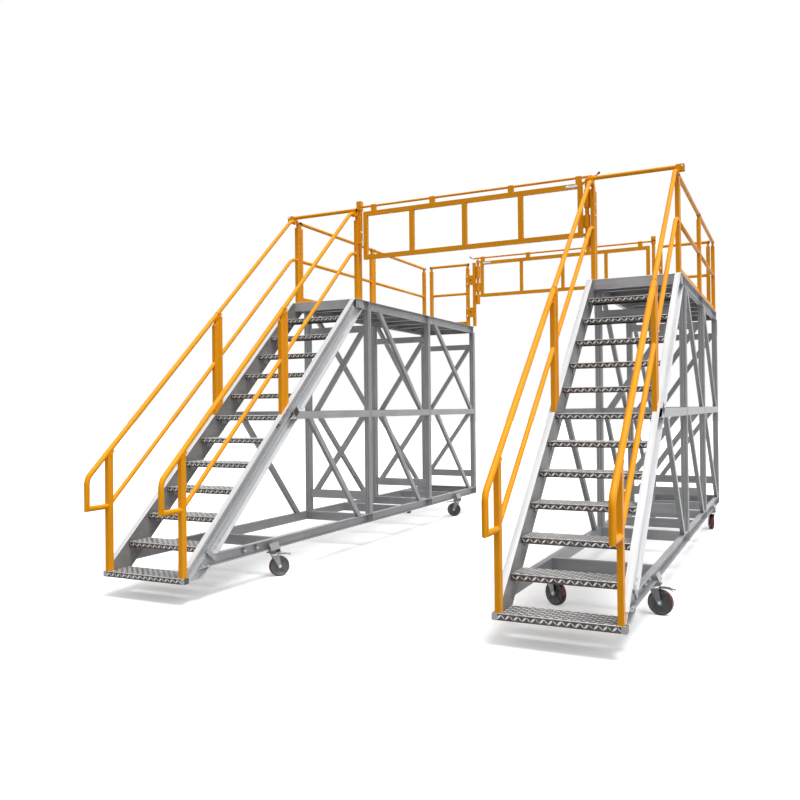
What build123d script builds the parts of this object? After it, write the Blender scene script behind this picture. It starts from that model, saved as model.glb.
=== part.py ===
"""Bus access platform: two wheeled stair towers with decks, parked either side of a bus bay.

Frame: X across the bay (right-hand tower at +X), Y from the stair feet to the rear, Z up.
The shape is worked out with y = 0 at the front edge of the decks, then moved along Y so that
the origin lies on the floor at the middle of the whole set.
A tower is described by its depth, measured inwards from its bus-side or its far-side face.
"""
from math import atan2, cos, degrees, radians, sin
import os

from build123d import *

# Overall layout
BAY_W = 2710.0              # between the bus-side faces of the two towers
TOWER_W = 910.0             # across one tower, over its base rails
DECK_L = 3884.0             # deck, front edge to rear edge
RISE = 225.0                # stair rise
GOING = 249.0               # stair going
FLIGHT = 12                 # rises from the bottom tread to the deck
BOTTOM_TREAD_Z = 235.0      # top of the bottom tread

# Base frame
RAIL_Z = 283.0              # underside of the base rails
CHANNEL_H = 100.0           # base rails and cross members
CHANNEL_W = 50.0            # flange of those channels, and of the deck edge channels
CHANNEL_T = 5.0
CROSS_FRONT_Y = -1640.0     # cross member under the stair
CROSS_SHARES = (0.062, 0.296, 0.518, 0.747)     # the others, as shares of the deck's length
STIFFENER_T = 6.0

# Columns and the rails between them
COLUMN_X = 65.0
COLUMN_Y = 75.0
TUBE_T = 4.0
FRAME_FRONT_Y = 292.0       # front face of the first column frame
FRAME_MID_SHARE = 0.528     # front face of the second one, as a share of the deck's length
FRAME_REAR_INSET = 86.0     # deck's rear edge to the front face of the last one
MID_RAIL_Z = 1545.0
MID_RAIL_H = 80.0
CROSS_RAIL_W = 50.0
LOW_RAIL_Z = 548.0
LOW_RAIL_H = 100.0
HEAD_RAIL_Z = 2570.0
HEAD_RAIL_H = 80.0
BRACE_W = 60.0
BRACE_T = 40.0
BRACE_DEPTH = 5.0           # from the tower's face to a side brace
STAIR_BRACE_HEAD = 300.0    # along Y, from the middle rail's front end to the stair bay's brace
STAIR_BRACE_FOOT = 235.0
CROSS_BRACE_HEAD = 40.0     # across X, from a column to the head of a cross brace
CROSS_BRACE_FOOT = 85.0

# Deck
EDGE_H = 100.0
PLATE_T = 5.0
PLATE_GAP = 2.0             # deck plate to the posts that stand beside it
JOIST_H = 60.0
JOIST_W = 40.0
JOISTS = 7

# Stairs
STRINGER_D = 210.0          # square to the slope
STRINGER_PROUD = 20.0       # front edge above the line of the noses
STRINGER_W = 56.0
STRINGER_T = 6.0
RIDGE_W = 40.0
RIDGE_H = 20.0
TREAD_D = 250.0
TREAD_T = 4.0
TREAD_LIP = 49.0
TREAD_BACK = 40.0
NOSE_BAR = 60.0             # depth of the full-width bar at the front of the bottom tread

# Posts and rails
POST_X = 40.0               # corner, side and stair middle posts are flat grooved sections
POST_Y = 122.0
GROOVE_W = 26.0
GROOVE_D = 5.0
FOOT_POST_Y = 60.0          # foot posts, along Y
REAR_POST = 48.0
NECK = 30.0                 # narrower top of a rear post, under its rail
NECK_H = 62.0
RAIL_PAST = 16.0            # side rail past the deck's rear edge
POST_DEPTH = 40.0           # tower face to the centre line of its posts and rails
POST_SETBACK = 70.0         # deck edge to a corner post
SADDLE_H = 65.0             # post top to the centre of the rail above
SADDLE_W = 30.0
SADDLE_L = 72.0
RAIL_R = 21.0
LOOP_R = 24.0               # thicker lower length of a stair rail
MID_R = 17.0
GUARD_Z = 1000.0            # above the deck, to the top rail's centre
GUARD_MID_Z = 535.0
STAIR_RAIL_Z = 1031.0       # above the line of the noses
STAIR_MID_Z = 555.0
LOOP_REACH = 250.0          # from the foot post's centre to the front of the loop
LOOP_Z = 570.0              # loop's return above the bottom tread
LOOP_BEND = 120.0
TOP_BEND = 150.0
STAIR_POST_Y = -1450.0
RAIL_BREAK = 27.0           # from a corner post's middle back to the side rail's front end
STAIR_RAIL_END = 16.0       # from a corner post's middle forward to the stair rail's end
REAR_POST_INSET = 40.0      # rear edge of the deck to the rear posts' centre line
TOE_H = 90.0
TOE_T = 5.0

# Gates
GATE_SETBACK = 37.0         # corner post's front face to the front gate's middle plane
GATE_POST = 42.0            # rear gate posts, along X
GATE_POST_FOOT = 10.0       # deck to the lower end of a rear gate post
HINGE_POST_H = 1018.0
HINGE_POST_DEPTH = -17.0    # bus-side face to the centre of the rear hinge post
CATCH_POST_DEPTH = 72.0     # the same for the rear catch post
CATCH_TUBE = 45.0           # front catch, beside the corner post
CATCH_TUBE_Z = 653.0        # its lower end above the deck
HOLDER_T = 8.0              # plates that hold a rear gate post off the rear panel
HOLDER_H = 158.0
HOLDER_ZS = (148.0, 662.0)
GATE_Z = 465.0              # gate's lower edge above the deck
GATE_H = 562.0
GATE_TUBE_W = 50.0
GATE_TUBE_D = 40.0
GATE_BARS = 3
GATE_BAR_W = 38.0
GATE_BAR_SHIFT = 22.0       # the bars stand this much nearer to the free end
POLE_R = 21.0
POLE_Z = 355.0              # hinge pole's lower end above the deck
POLE_H = 710.0
POLE_REACH = 42.0           # post's face to the pole's axis
FRAME_REACH = 45.0          # pole's axis to the gate's frame
SLEEVE_R = 31.0
SLEEVE_LUG = 20.0
LOW_SLEEVE_H = 110.0
HIGH_SLEEVE_Z = 765.0       # fixed upper sleeve above the deck
HIGH_SLEEVE_H = 190.0
GATE_SLEEVE_Z = 560.0       # gate's middle sleeve above the deck
GATE_SLEEVE_H = 130.0
GATE_LUG_H = 25.0
RUNNING = 0.3               # radial clearance round poles, pins and axles
FREE_GAP = 32.0             # gate's free end to the catch
ROD_R = 13.0
ROD_LIFT = 61.0             # gate's top to the latch rod's centre
ROD_TAIL = 56.0             # pole's axis to the end of the straight rod
LEVER_REACH = 72.0
LEVER_RISE = 65.0
LEVER_R = 8.0
STAND_OFF_SHARES = (0.051, 0.341, 0.70, 0.985)  # along the gate's top from its free end
STAND_OFF_W = 62.0
CATCH_HEAD = 60.0
CATCH_HEAD_Z = 1053.0       # lower side of a catch's head above the deck
CATCH_HEAD_H = 102.0
CATCH_CLEAR = 6.0

# Lift-up bars at the stair heads
BAR_R = 21.0
BAR_Z = 1045.0
BAR_Y = 40.0
BAR_PIVOT = 18.0            # pivot pin outside the tower's face
BAR_EAR = 8.0
BAR_GAP = 2.0
BAR_END_DEPTH = 5.0
PIN_R = 6.0
CLAMP_R = 27.0

# Casters
WHEEL_R = 100.0
WHEEL_W = 50.0
AXLE_R = 8.0
TRAIL = 50.0
CASTER_H = 243.0
CASTER_DEPTH = 40.0         # tower face to a swivel's axis
CASTER_PLATE = 110.0
CASTER_PLATE_T = 10.0
CASTER_FRONT_Y = -1636.0
CASTER_REAR_INSET = 724.0
FORK_T = 6.0
FORK_GAP = 2.0
SWIVEL_GAP = 0.3

# Derived values
SLOPE = atan2(RISE, GOING)
PITCH = RISE / GOING
DECK_Z = BOTTOM_TREAD_Z + FLIGHT * RISE
FOOT_Y = -FLIGHT * GOING
BUS_FACE = BAY_W / 2
FAR_FACE = BUS_FACE + TOWER_W
RAIL_TOP = RAIL_Z + CHANNEL_H
EDGE_Z = DECK_Z - EDGE_H
GUARD_RAIL_Z = DECK_Z + GUARD_Z
FRAME_YS = (FRAME_FRONT_Y, DECK_L * FRAME_MID_SHARE, DECK_L - FRAME_REAR_INSET)
CORNER_Y = POST_SETBACK + POST_Y / 2
SIDE_POST_Y = FRAME_YS[1] + 5
REAR_LINE = DECK_L - REAR_POST_INSET
FRONT_GATE_Y = POST_SETBACK + GATE_SETBACK
CASTER_YS = {"front": CASTER_FRONT_Y, "rear": DECK_L - CASTER_REAR_INSET}
LATCH_Z = DECK_Z + GATE_Z + GATE_H + ROD_LIFT
BUS, FAR = 0, 1

# Rear panel posts, from the bus-side face: the two towers carry the panel in different places.
REAR_PANEL_DEPTHS = {"right": (170.0, 810.0), "left": (95.0, 728.0)}

# Side braces under the deck: side, bay, level, then the gaps along Y from the columns to its ends.
SIDE_BRACES = (
    (BUS, 0, "upper", 247.0, 222.0),
    (BUS, 0, "lower", 331.0, 290.0),
    (BUS, 1, "upper", 205.0, 80.0),
    (BUS, 1, "lower", 262.0, 190.0),
    (FAR, 0, "upper", 145.0, 122.0),
    (FAR, 0, "lower", 240.0, 181.0),
    (FAR, 1, "upper", 96.0, 108.0),
    (FAR, 1, "lower", 142.0, 118.0),
)


def side_x(side, depth):
    """X on the right-hand tower at a depth inwards from one of its faces."""
    return BUS_FACE + depth if side == BUS else FAR_FACE - depth


def nose_z(y):
    """Height of the line that touches the noses of the treads."""
    return DECK_Z + y * PITCH


def block(xs, ys, zs):
    """A rectangular block between three pairs of limits."""
    lows = [min(pair) for pair in (xs, ys, zs)]
    sizes = [abs(pair[1] - pair[0]) for pair in (xs, ys, zs)]
    centre = [low + size / 2 for low, size in zip(lows, sizes)]
    return Pos(*centre) * Box(*sizes)


def box_tube(xs, ys, zs, wall, along):
    """A rectangular tube that fills three pairs of limits, open at both ends of one axis."""
    bore = []
    for axis, pair in enumerate((xs, ys, zs)):
        step = wall if axis == along else -wall
        bore.append((min(pair) - step, max(pair) + step))
    return (block(xs, ys, zs) - block(*bore)).solid()


def prism(points, direction):
    """A flat outline through 3-D points, extruded along a vector."""
    return Solid.extrude(Face(Wire.make_polygon([Vector(*p) for p in points])), Vector(*direction))


def prism_x(outline, xs):
    """An outline in Y and Z, extruded between two values of X."""
    return prism([(xs[0], y, z) for y, z in outline], (xs[1] - xs[0], 0, 0))


def channel_y(side, ys, z):
    """A channel along Y whose flanges point out of the tower's side."""
    h, w, t = CHANNEL_H, CHANNEL_W, CHANNEL_T
    section = [(0, 0), (w, 0), (w, h), (0, h), (0, h - t), (w - t, h - t), (w - t, t), (0, t)]
    points = [(side_x(side, depth), ys[0], z + up) for depth, up in section]
    return prism(points, (0, ys[1] - ys[0], 0))


def channel_x(xs, y, z, opens):
    """A channel across the tower; its flanges point along Y, forwards or backwards."""
    h, w, t = CHANNEL_H, CHANNEL_W, CHANNEL_T
    section = [(0, 0), (w, 0), (w, t), (t, t), (t, h - t), (w, h - t), (w, h), (0, h)]
    points = [(xs[0], y + opens * back, z + up) for back, up in section]
    return prism(points, (xs[1] - xs[0], 0, 0))


def rod(start, end, radius):
    """A round bar between two points."""
    a, b = Vector(*start), Vector(*end)
    return Solid.make_cylinder(radius, (b - a).length, Plane(origin=a, z_dir=b - a))


def bent_rod(points, bends, radius):
    """A round bar along straight runs joined by bends."""
    path = FilletPolyline(*points, radius=bends)
    start = Plane(origin=points[0], z_dir=Vector(*points[1]) - Vector(*points[0]))
    return sweep(start * Circle(radius), path=path).solid()


def behind_ridge(z):
    """Y where the back of a stringer's ridge crosses a height; rails start there."""
    behind = (STRINGER_D / 2 + RIDGE_W / 2 - STRINGER_PROUD) / cos(SLOPE)
    return (z + behind - DECK_Z) / PITCH


def raked_end(zs):
    """Outline in Y and Z of what a rail's front end loses in front of the stringer's ridge."""
    low, high = zs[0] - 1, zs[1] + 1
    front = behind_ridge(low) - 1
    return [(front, low), (behind_ridge(low), low), (behind_ridge(high), high), (front, high)]


def base_rails():
    """Two base channels, with stiffeners inside them under the columns."""
    rails = []
    for side in (BUS, FAR):
        rail = channel_y(side, (behind_ridge(RAIL_Z), DECK_L), RAIL_Z)
        rail = rail - prism_x(raked_end((RAIL_Z, RAIL_TOP)),
                              (side_x(side, -1), side_x(side, CHANNEL_W + 1)))
        for y in FRAME_YS:
            for at in (y, y + COLUMN_Y - STIFFENER_T):
                rail = rail + block((side_x(side, 0), side_x(side, CHANNEL_W - CHANNEL_T)),
                                    (at, at + STIFFENER_T),
                                    (RAIL_Z + CHANNEL_T, RAIL_TOP - CHANNEL_T))
        rails.append(rail.solid())
    return rails


def base_crossmembers():
    """Channels between the webs of the base rails."""
    xs = (side_x(BUS, CHANNEL_W), side_x(FAR, CHANNEL_W))
    starts = [CROSS_FRONT_Y] + [DECK_L * share for share in CROSS_SHARES]
    members = [channel_x(xs, y, RAIL_Z, 1) for y in starts]
    return members + [channel_x(xs, DECK_L, RAIL_Z, -1)]


def columns():
    """Six square-cut columns from the base rails to the deck edges."""
    return [box_tube((side_x(side, 0), side_x(side, COLUMN_X)), (y, y + COLUMN_Y),
                     (RAIL_TOP, EDGE_Z), TUBE_T, 2)
            for side in (BUS, FAR) for y in FRAME_YS]


def mid_rails():
    """Middle rails along both sides, cut between the columns; the first runs into the stringer."""
    rails = []
    zs = (MID_RAIL_Z, MID_RAIL_Z + MID_RAIL_H)
    for side in (BUS, FAR):
        xs = (side_x(side, 0), side_x(side, CROSS_RAIL_W))
        first = box_tube(xs, (behind_ridge(MID_RAIL_Z), FRAME_YS[0]), zs, TUBE_T, 1)
        cut_xs = (side_x(side, -1), side_x(side, CROSS_RAIL_W + 1))
        rails.append((first - prism_x(raked_end(zs), cut_xs)).solid())
        for a, b in zip(FRAME_YS, FRAME_YS[1:]):
            rails.append(box_tube(xs, (a + COLUMN_Y, b), zs, TUBE_T, 1))
    return rails


def cross_rails():
    """Low, middle and head rails across each column frame."""
    xs = (side_x(BUS, COLUMN_X), side_x(FAR, COLUMN_X))
    setback = (COLUMN_Y - CROSS_RAIL_W) / 2
    levels = ((LOW_RAIL_Z, LOW_RAIL_H), (MID_RAIL_Z, MID_RAIL_H), (HEAD_RAIL_Z, HEAD_RAIL_H))
    return [box_tube(xs, (y + setback, y + setback + CROSS_RAIL_W), (z, z + h), TUBE_T, 0)
            for y in FRAME_YS for z, h in levels]


def brace_outline(start, end, width, past):
    """Four corners of a diagonal whose ends are cut level, a little past its two ends."""
    (a, top), (b, foot) = start, end
    half = width / 2 / sin(atan2(top - foot, abs(b - a)))
    lean = (b - a) / (top - foot) * past
    return [(a - lean - half, top + past), (a - lean + half, top + past),
            (b + lean + half, foot - past), (b + lean - half, foot - past)]


def brace(start, end, place):
    """A diagonal tube; place gives the 3-D point for a distance along, a height and a depth."""
    zero = Vector(*place(0, 0, 0))
    outer = prism([place(u, z, 0) for u, z in brace_outline(start, end, BRACE_W, 0)],
                  Vector(*place(0, 0, BRACE_T)) - zero)
    hole = brace_outline(start, end, BRACE_W - 2 * TUBE_T, 2 * BRACE_W)
    inner = prism([place(u, z, TUBE_T) for u, z in hole],
                  Vector(*place(0, 0, BRACE_T - 2 * TUBE_T)) - zero)
    return (outer - inner).solid()


def side_brace_spans(side):
    """Head and foot of every diagonal in one side plane, as Y and Z."""
    mid_top = MID_RAIL_Z + MID_RAIL_H
    spans = [((behind_ridge(mid_top) + STAIR_BRACE_HEAD, MID_RAIL_Z),
              (FRAME_YS[0] - STAIR_BRACE_FOOT, RAIL_TOP))]
    for row_side, bay, level, head_gap, foot_gap in SIDE_BRACES:
        if row_side != side:
            continue
        top, bottom = (EDGE_Z, mid_top) if level == "upper" else (MID_RAIL_Z, RAIL_TOP)
        spans.append(((FRAME_YS[bay] + COLUMN_Y + head_gap, top),
                      (FRAME_YS[bay + 1] - foot_gap, bottom)))
    return spans


def side_braces():
    """Diagonals in both side planes, from the head of one bay to the foot of the next column."""
    braces = []
    for side in (BUS, FAR):
        for start, end in side_brace_spans(side):
            braces.append(brace(start, end,
                                lambda u, z, d, side=side: (side_x(side, BRACE_DEPTH + d), u, z)))
    return braces


def cross_braces(head_side):
    """Diagonals in each column frame, with their heads towards one side of the tower."""
    setback = (COLUMN_Y - BRACE_T) / 2
    head = side_x(head_side, COLUMN_X + CROSS_BRACE_HEAD)
    foot = side_x(FAR if head_side == BUS else BUS, COLUMN_X + CROSS_BRACE_FOOT)
    levels = ((HEAD_RAIL_Z, MID_RAIL_Z + MID_RAIL_H), (MID_RAIL_Z, LOW_RAIL_Z + LOW_RAIL_H))
    return [brace((head, top), (foot, bottom), lambda u, z, d, y=y: (u, y + setback + d, z))
            for y in FRAME_YS for top, bottom in levels]


def deck_frame():
    """Edge channels, end channels and joists under the deck plate."""
    xs = (side_x(BUS, CHANNEL_W), side_x(FAR, CHANNEL_W))
    parts = [channel_y(side, (0, DECK_L), EDGE_Z) for side in (BUS, FAR)]
    parts.append(channel_x(xs, 0, EDGE_Z, 1))
    parts.append(channel_x(xs, DECK_L, EDGE_Z, -1))
    top = DECK_Z - PLATE_T
    pitch = DECK_L / (JOISTS + 1)
    for i in range(JOISTS):
        y = pitch * (i + 1)
        parts.append(box_tube(xs, (y - JOIST_W / 2, y + JOIST_W / 2), (top - JOIST_H, top),
                              TUBE_T, 0))
    return parts


def guard_spots(tower):
    """Centre and size in X and Y of every post that stands on a deck."""
    x = side_x(FAR, POST_DEPTH)
    spots = [(side_x(BUS, POST_DEPTH), CORNER_Y, POST_X, POST_Y), (x, CORNER_Y, POST_X, POST_Y),
             (x, SIDE_POST_Y, POST_X, POST_Y),
             (x, DECK_L - REAR_POST / 2, REAR_POST, REAR_POST)]
    return spots + [(side_x(BUS, depth), REAR_LINE, REAR_POST, REAR_POST)
                    for depth in REAR_PANEL_DEPTHS[tower]]


def deck_plate(tower):
    """Tread plate between the edge channels, flush with their tops and notched at the posts."""
    plate = block((side_x(BUS, CHANNEL_W), side_x(FAR, CHANNEL_W)),
                  (CHANNEL_W, DECK_L - CHANNEL_W), (DECK_Z - PLATE_T, DECK_Z))
    for x, y, size_x, size_y in guard_spots(tower):
        reach_x, reach_y = size_x / 2 + PLATE_GAP, size_y / 2 + PLATE_GAP
        plate = plate - block((x - reach_x, x + reach_x), (y - reach_y, y + reach_y),
                              (DECK_Z - PLATE_T - 1, DECK_Z + 1))
    return [plate.solid()]


def stringer_section():
    """Corners across a stringer: distance behind its front edge, and depth from the face."""
    web, ridge = STRINGER_W - STRINGER_T, STRINGER_W - STRINGER_T - RIDGE_H
    near, far = STRINGER_D / 2 - RIDGE_W / 2, STRINGER_D / 2 + RIDGE_W / 2
    back = STRINGER_D - STRINGER_T
    return [(0, 0), (STRINGER_T, 0), (STRINGER_T, web), (near, web), (near, ridge), (far, ridge),
            (far, web), (back, web), (back, 0), (STRINGER_D, 0), (STRINGER_D, STRINGER_W),
            (0, STRINGER_W)]


def stringers():
    """Grooved channel stringers, trimmed level at the foot and round the deck edge."""
    back = (STRINGER_D - STRINGER_PROUD) / cos(SLOPE)
    proud = STRINGER_PROUD / cos(SLOPE)
    foot_z = BOTTOM_TREAD_Z - TREAD_LIP
    front = FOOT_Y + NOSE_BAR
    outline = [(front, foot_z), (front, nose_z(front) + proud), (-proud / PITCH, DECK_Z),
               (0, DECK_Z), (0, EDGE_Z), ((EDGE_Z + back - DECK_Z) / PITCH, EDGE_Z),
               ((foot_z + back - DECK_Z) / PITCH, foot_z)]
    along = Vector(0, cos(SLOPE), sin(SLOPE))
    square = Vector(0, -sin(SLOPE), cos(SLOPE))
    stringers = []
    for side in (BUS, FAR):
        start = Vector(0, FOOT_Y, nose_z(FOOT_Y)) - along * STRINGER_D * 2
        points = []
        for behind, depth in stringer_section():
            points.append(start + square * (STRINGER_PROUD - behind)
                          + Vector(side_x(side, depth), 0, 0))
        length = abs(FOOT_Y) / cos(SLOPE) + STRINGER_D * 4
        profile = Solid.extrude(Face(Wire.make_polygon(points)), along * length)
        trimmed = profile & prism_x(outline, (side_x(side, -1), side_x(side, STRINGER_W + 1)))
        for z, h in ((MID_RAIL_Z, MID_RAIL_H), (RAIL_Z, CHANNEL_H)):
            notch = [(behind_ridge(z), z), (behind_ridge(z + h), z + h), (0, z + h), (0, z)]
            trimmed = trimmed - prism_x(notch, (side_x(side, -1), side_x(side, CHANNEL_W)))
        stringers.append(trimmed.solid())
    return stringers


def tread(top, front):
    """A folded plate tread with a deep front lip, a shallower back lip and end plates."""
    xs = (side_x(BUS, STRINGER_W), side_x(FAR, STRINGER_W))
    back, t = front + TREAD_D, TREAD_T
    outline = [(front, top), (back, top), (back, top - TREAD_BACK), (back - t, top - TREAD_BACK),
               (back - t, top - t), (front + t, top - t), (front + t, top - TREAD_LIP),
               (front, top - TREAD_LIP)]
    step = prism_x(outline, xs)
    for side in (BUS, FAR):
        ends = (side_x(side, STRINGER_W), side_x(side, STRINGER_W + t))
        step = step + block(ends, (front + t, back - t), (top - TREAD_BACK, top - t))
    return step.solid()


def bottom_tread():
    """The bottom tread: its front bar runs the full width under the foot posts."""
    top, front, t = BOTTOM_TREAD_Z, FOOT_Y, TREAD_T
    low = top - TREAD_LIP
    bar = block((BUS_FACE, FAR_FACE), (front, front + NOSE_BAR), (low, top))
    bar = bar - block((BUS_FACE + t, FAR_FACE - t), (front + t, front + NOSE_BAR - t),
                      (low - 1, top - t))
    xs = (side_x(BUS, STRINGER_W), side_x(FAR, STRINGER_W))
    back = front + TREAD_D
    outline = [(front + NOSE_BAR, top), (back, top), (back, top - TREAD_BACK),
               (back - t, top - TREAD_BACK), (back - t, top - t), (front + NOSE_BAR, top - t)]
    return (bar + prism_x(outline, xs)).solid()


def treads():
    """All treads of a flight."""
    steps = [tread(BOTTOM_TREAD_Z + k * RISE, FOOT_Y + k * GOING) for k in range(1, FLIGHT)]
    return [bottom_tread()] + steps


def foot_post_y():
    """Centre of the foot posts, on the bottom tread's front bar."""
    return FOOT_Y + NOSE_BAR / 2


def stair_rail_z(y):
    """Height of a stair's top rail."""
    return nose_z(y) + STAIR_RAIL_Z


def grooved(post, x, y, zs):
    """A post with a groove down the middle of each wide face."""
    for sign in (-1, 1):
        face = x + sign * POST_X / 2
        post = post - block((face - sign * GROOVE_D, face + sign), (y - GROOVE_W / 2,
                            y + GROOVE_W / 2), (zs[0] - 1, zs[1] + 1))
    return post


def sloped_line(x, y, radius):
    """The stair rail's straight run past one post, as a cutter."""
    ends = [(x, at, stair_rail_z(at)) for at in (y - 2 * POST_Y, y + 2 * POST_Y)]
    return rod(*ends, radius)


def foot_post(x):
    """A post on the bottom tread's front bar, up to the loop's lower run."""
    y = foot_post_y()
    a, b = y - FOOT_POST_Y / 2, y + FOOT_POST_Y / 2
    outline = [(a, BOTTOM_TREAD_Z), (b, BOTTOM_TREAD_Z), (b, stair_rail_z(b)),
               (a, stair_rail_z(a))]
    post = prism_x(outline, (x - POST_X / 2, x + POST_X / 2))
    upright = post - sloped_line(x, y, LOOP_R)
    return sorted(upright.solids(), key=lambda solid: solid.volume)[-1]


def middle_post(x):
    """A grooved post on the stringer with its saddle, both cut to the slope."""
    y = STAIR_POST_Y
    proud = STRINGER_PROUD / cos(SLOPE)
    a, b = y - POST_Y / 2, y + POST_Y / 2
    drop = SADDLE_H / cos(SLOPE) * 0.82
    outline = [(a, nose_z(a) + proud), (b, nose_z(b) + proud), (b, stair_rail_z(b) - drop),
               (a, stair_rail_z(a) - drop)]
    post = prism_x(outline, (x - POST_X / 2, x + POST_X / 2))
    post = grooved(post, x, y, (nose_z(a), stair_rail_z(b)))
    c, d = y - SADDLE_L / 2, y + SADDLE_L / 2
    outline = [(c, stair_rail_z(c) - drop), (d, stair_rail_z(d) - drop), (d, stair_rail_z(d)),
               (c, stair_rail_z(c))]
    saddle = prism_x(outline, (x - SADDLE_W / 2, x + SADDLE_W / 2))
    whole = post + saddle - sloped_line(x, y, LOOP_R)
    return sorted(whole.solids(), key=lambda solid: solid.volume)[-1]


def stair_posts():
    """Foot posts on the bottom tread and middle posts on the stringers."""
    posts = []
    for side in (BUS, FAR):
        x = side_x(side, POST_DEPTH)
        posts += [foot_post(x), middle_post(x)]
    return posts


def stair_top_rails():
    """Top rails: a loop at the foot, a long slope and a level end at the corner post."""
    rails = []
    for side in (BUS, FAR):
        x = side_x(side, POST_DEPTH)
        front, low = foot_post_y() - LOOP_REACH, BOTTOM_TREAD_Z + LOOP_Z
        head_y = (GUARD_RAIL_Z - DECK_Z - STAIR_RAIL_Z) / PITCH
        head_end = CORNER_Y - STAIR_RAIL_END
        joint = (x, STAIR_POST_Y, stair_rail_z(STAIR_POST_Y))
        lower = bent_rod([(x, front, low), (x, front, stair_rail_z(front)), joint],
                         LOOP_BEND, LOOP_R)
        upper = bent_rod([joint, (x, head_y, GUARD_RAIL_Z), (x, head_end, GUARD_RAIL_Z)],
                         TOP_BEND / 4, RAIL_R)
        back = rod((x, front - LOOP_R, low), (x, foot_post_y() - FOOT_POST_Y / 2, low), LOOP_R)
        cut = [(front - LOOP_R - 1, low - LOOP_R - 1), (front + LOOP_R + 1, low + LOOP_R + 1),
               (front - LOOP_R - 1, low + LOOP_R + 1)]
        reach = (x - LOOP_R - 1, x + LOOP_R + 1)
        back = back - prism_x(cut, reach)
        stub = rod((x, front, low - LOOP_R), (x, front, low + 1), LOOP_R)
        cut = [(front - LOOP_R - 1, low - LOOP_R - 1), (front + LOOP_R + 1, low + LOOP_R + 1),
               (front + LOOP_R + 1, low - LOOP_R - 1)]
        stub = stub - prism_x(cut, reach)
        rails.append((lower + upper + back + stub).solid())
    return rails


def trimmed_rod(start, end, radius, ys):
    """A sloping round bar cut off square to Y at two planes."""
    run = Vector(*end) - Vector(*start)
    step = run.normalized() * radius * 2
    long_bar = rod(Vector(*start) - step, Vector(*end) + step, radius)
    x = start[0]
    zs = (start[2] - radius * 4, end[2] + radius * 4)
    return (long_bar & block((x - radius * 2, x + radius * 2), ys, zs)).solid()


def stair_mid_rails():
    """Middle rails of the stairs, in two lengths either side of the middle posts."""
    rails = []
    for side in (BUS, FAR):
        x = side_x(side, POST_DEPTH)
        level = DECK_Z + GUARD_MID_Z
        knee = (level - DECK_Z - STAIR_MID_Z) / PITCH
        ys = (foot_post_y() + FOOT_POST_Y / 2, STAIR_POST_Y - POST_Y / 2)
        ends = [(x, y, nose_z(y) + STAIR_MID_Z) for y in ys]
        rails.append(trimmed_rod(*ends, MID_R, ys))
        start = STAIR_POST_Y + POST_Y / 2
        step = MID_R * 2
        path = [(x, start - step, nose_z(start - step) + STAIR_MID_Z), (x, knee, level),
                (x, POST_SETBACK, level)]
        upper = bent_rod(path, MID_R, MID_R)
        keep = block((x - step, x + step), (start, POST_SETBACK), (DECK_Z - DECK_L, level + step))
        rails.append((upper & keep).solid())
    return rails


def guard_lines():
    """The top rails' centre lines, as long cutters: bus side, far side."""
    return [rod((side_x(side, POST_DEPTH), -POST_Y, GUARD_RAIL_Z),
                (side_x(side, POST_DEPTH), DECK_L + POST_Y, GUARD_RAIL_Z), RAIL_R)
            for side in (BUS, FAR)]


def necked(post, x, y):
    """A rear post whose top is cut down to a neck under the rail."""
    outer, neck = REAR_POST, NECK / 2
    low = GUARD_RAIL_Z - NECK_H
    ring = block((x - outer, x + outer), (y - outer, y + outer), (low, GUARD_RAIL_Z + 1))
    core = block((x - neck, x + neck), (y - neck, y + neck), (low - 1, GUARD_RAIL_Z + 2))
    return post - (ring - core)


def guard_posts(tower):
    """Deck posts: two corner posts at the stair head, then side and rear posts."""
    top = GUARD_RAIL_Z - SADDLE_H
    lines = guard_lines()
    rear = rod((BUS_FACE, REAR_LINE, GUARD_RAIL_Z), (FAR_FACE, REAR_LINE, GUARD_RAIL_Z), RAIL_R)
    cutters = [lines[0], lines[1], lines[1], lines[1], rear, rear]
    posts = []
    for (x, y, size_x, size_y), cutter in zip(guard_spots(tower), cutters):
        flat = size_y == POST_Y
        height = top if flat else GUARD_RAIL_Z
        post = block((x - size_x / 2, x + size_x / 2), (y - size_y / 2, y + size_y / 2),
                     (DECK_Z, height))
        if not flat:
            post = necked(post, x, y)
        if flat:
            post = grooved(post, x, y, (DECK_Z, top))
            post = post + block((x - SADDLE_W / 2, x + SADDLE_W / 2),
                                (y - SADDLE_L / 2, y + SADDLE_L / 2), (top, GUARD_RAIL_Z))
        posts.append((post - cutter).solid())
    return posts


def guard_rails(tower):
    """Top and middle rails along the far side and across the rear."""
    x = side_x(FAR, POST_DEPTH)
    top, mid = GUARD_RAIL_Z, DECK_Z + GUARD_MID_Z
    rails = [rod((x, CORNER_Y + RAIL_BREAK, top), (x, DECK_L + RAIL_PAST, top), RAIL_R)]
    half, small = POST_Y / 2, REAR_POST / 2
    stops = [CORNER_Y + half, SIDE_POST_Y - half, SIDE_POST_Y + half, DECK_L - REAR_POST]
    for a, b in (stops[:2], stops[2:]):
        rails.append(rod((x, a, mid), (x, b, mid), MID_R))
    ends = [side_x(BUS, depth) for depth in REAR_PANEL_DEPTHS[tower]]
    rails.append(rod((ends[0] - small, REAR_LINE, top), (ends[1] + small, REAR_LINE, top), RAIL_R))
    rails.append(rod((ends[0] + small, REAR_LINE, mid), (ends[1] - small, REAR_LINE, mid), MID_R))
    return rails


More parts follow.
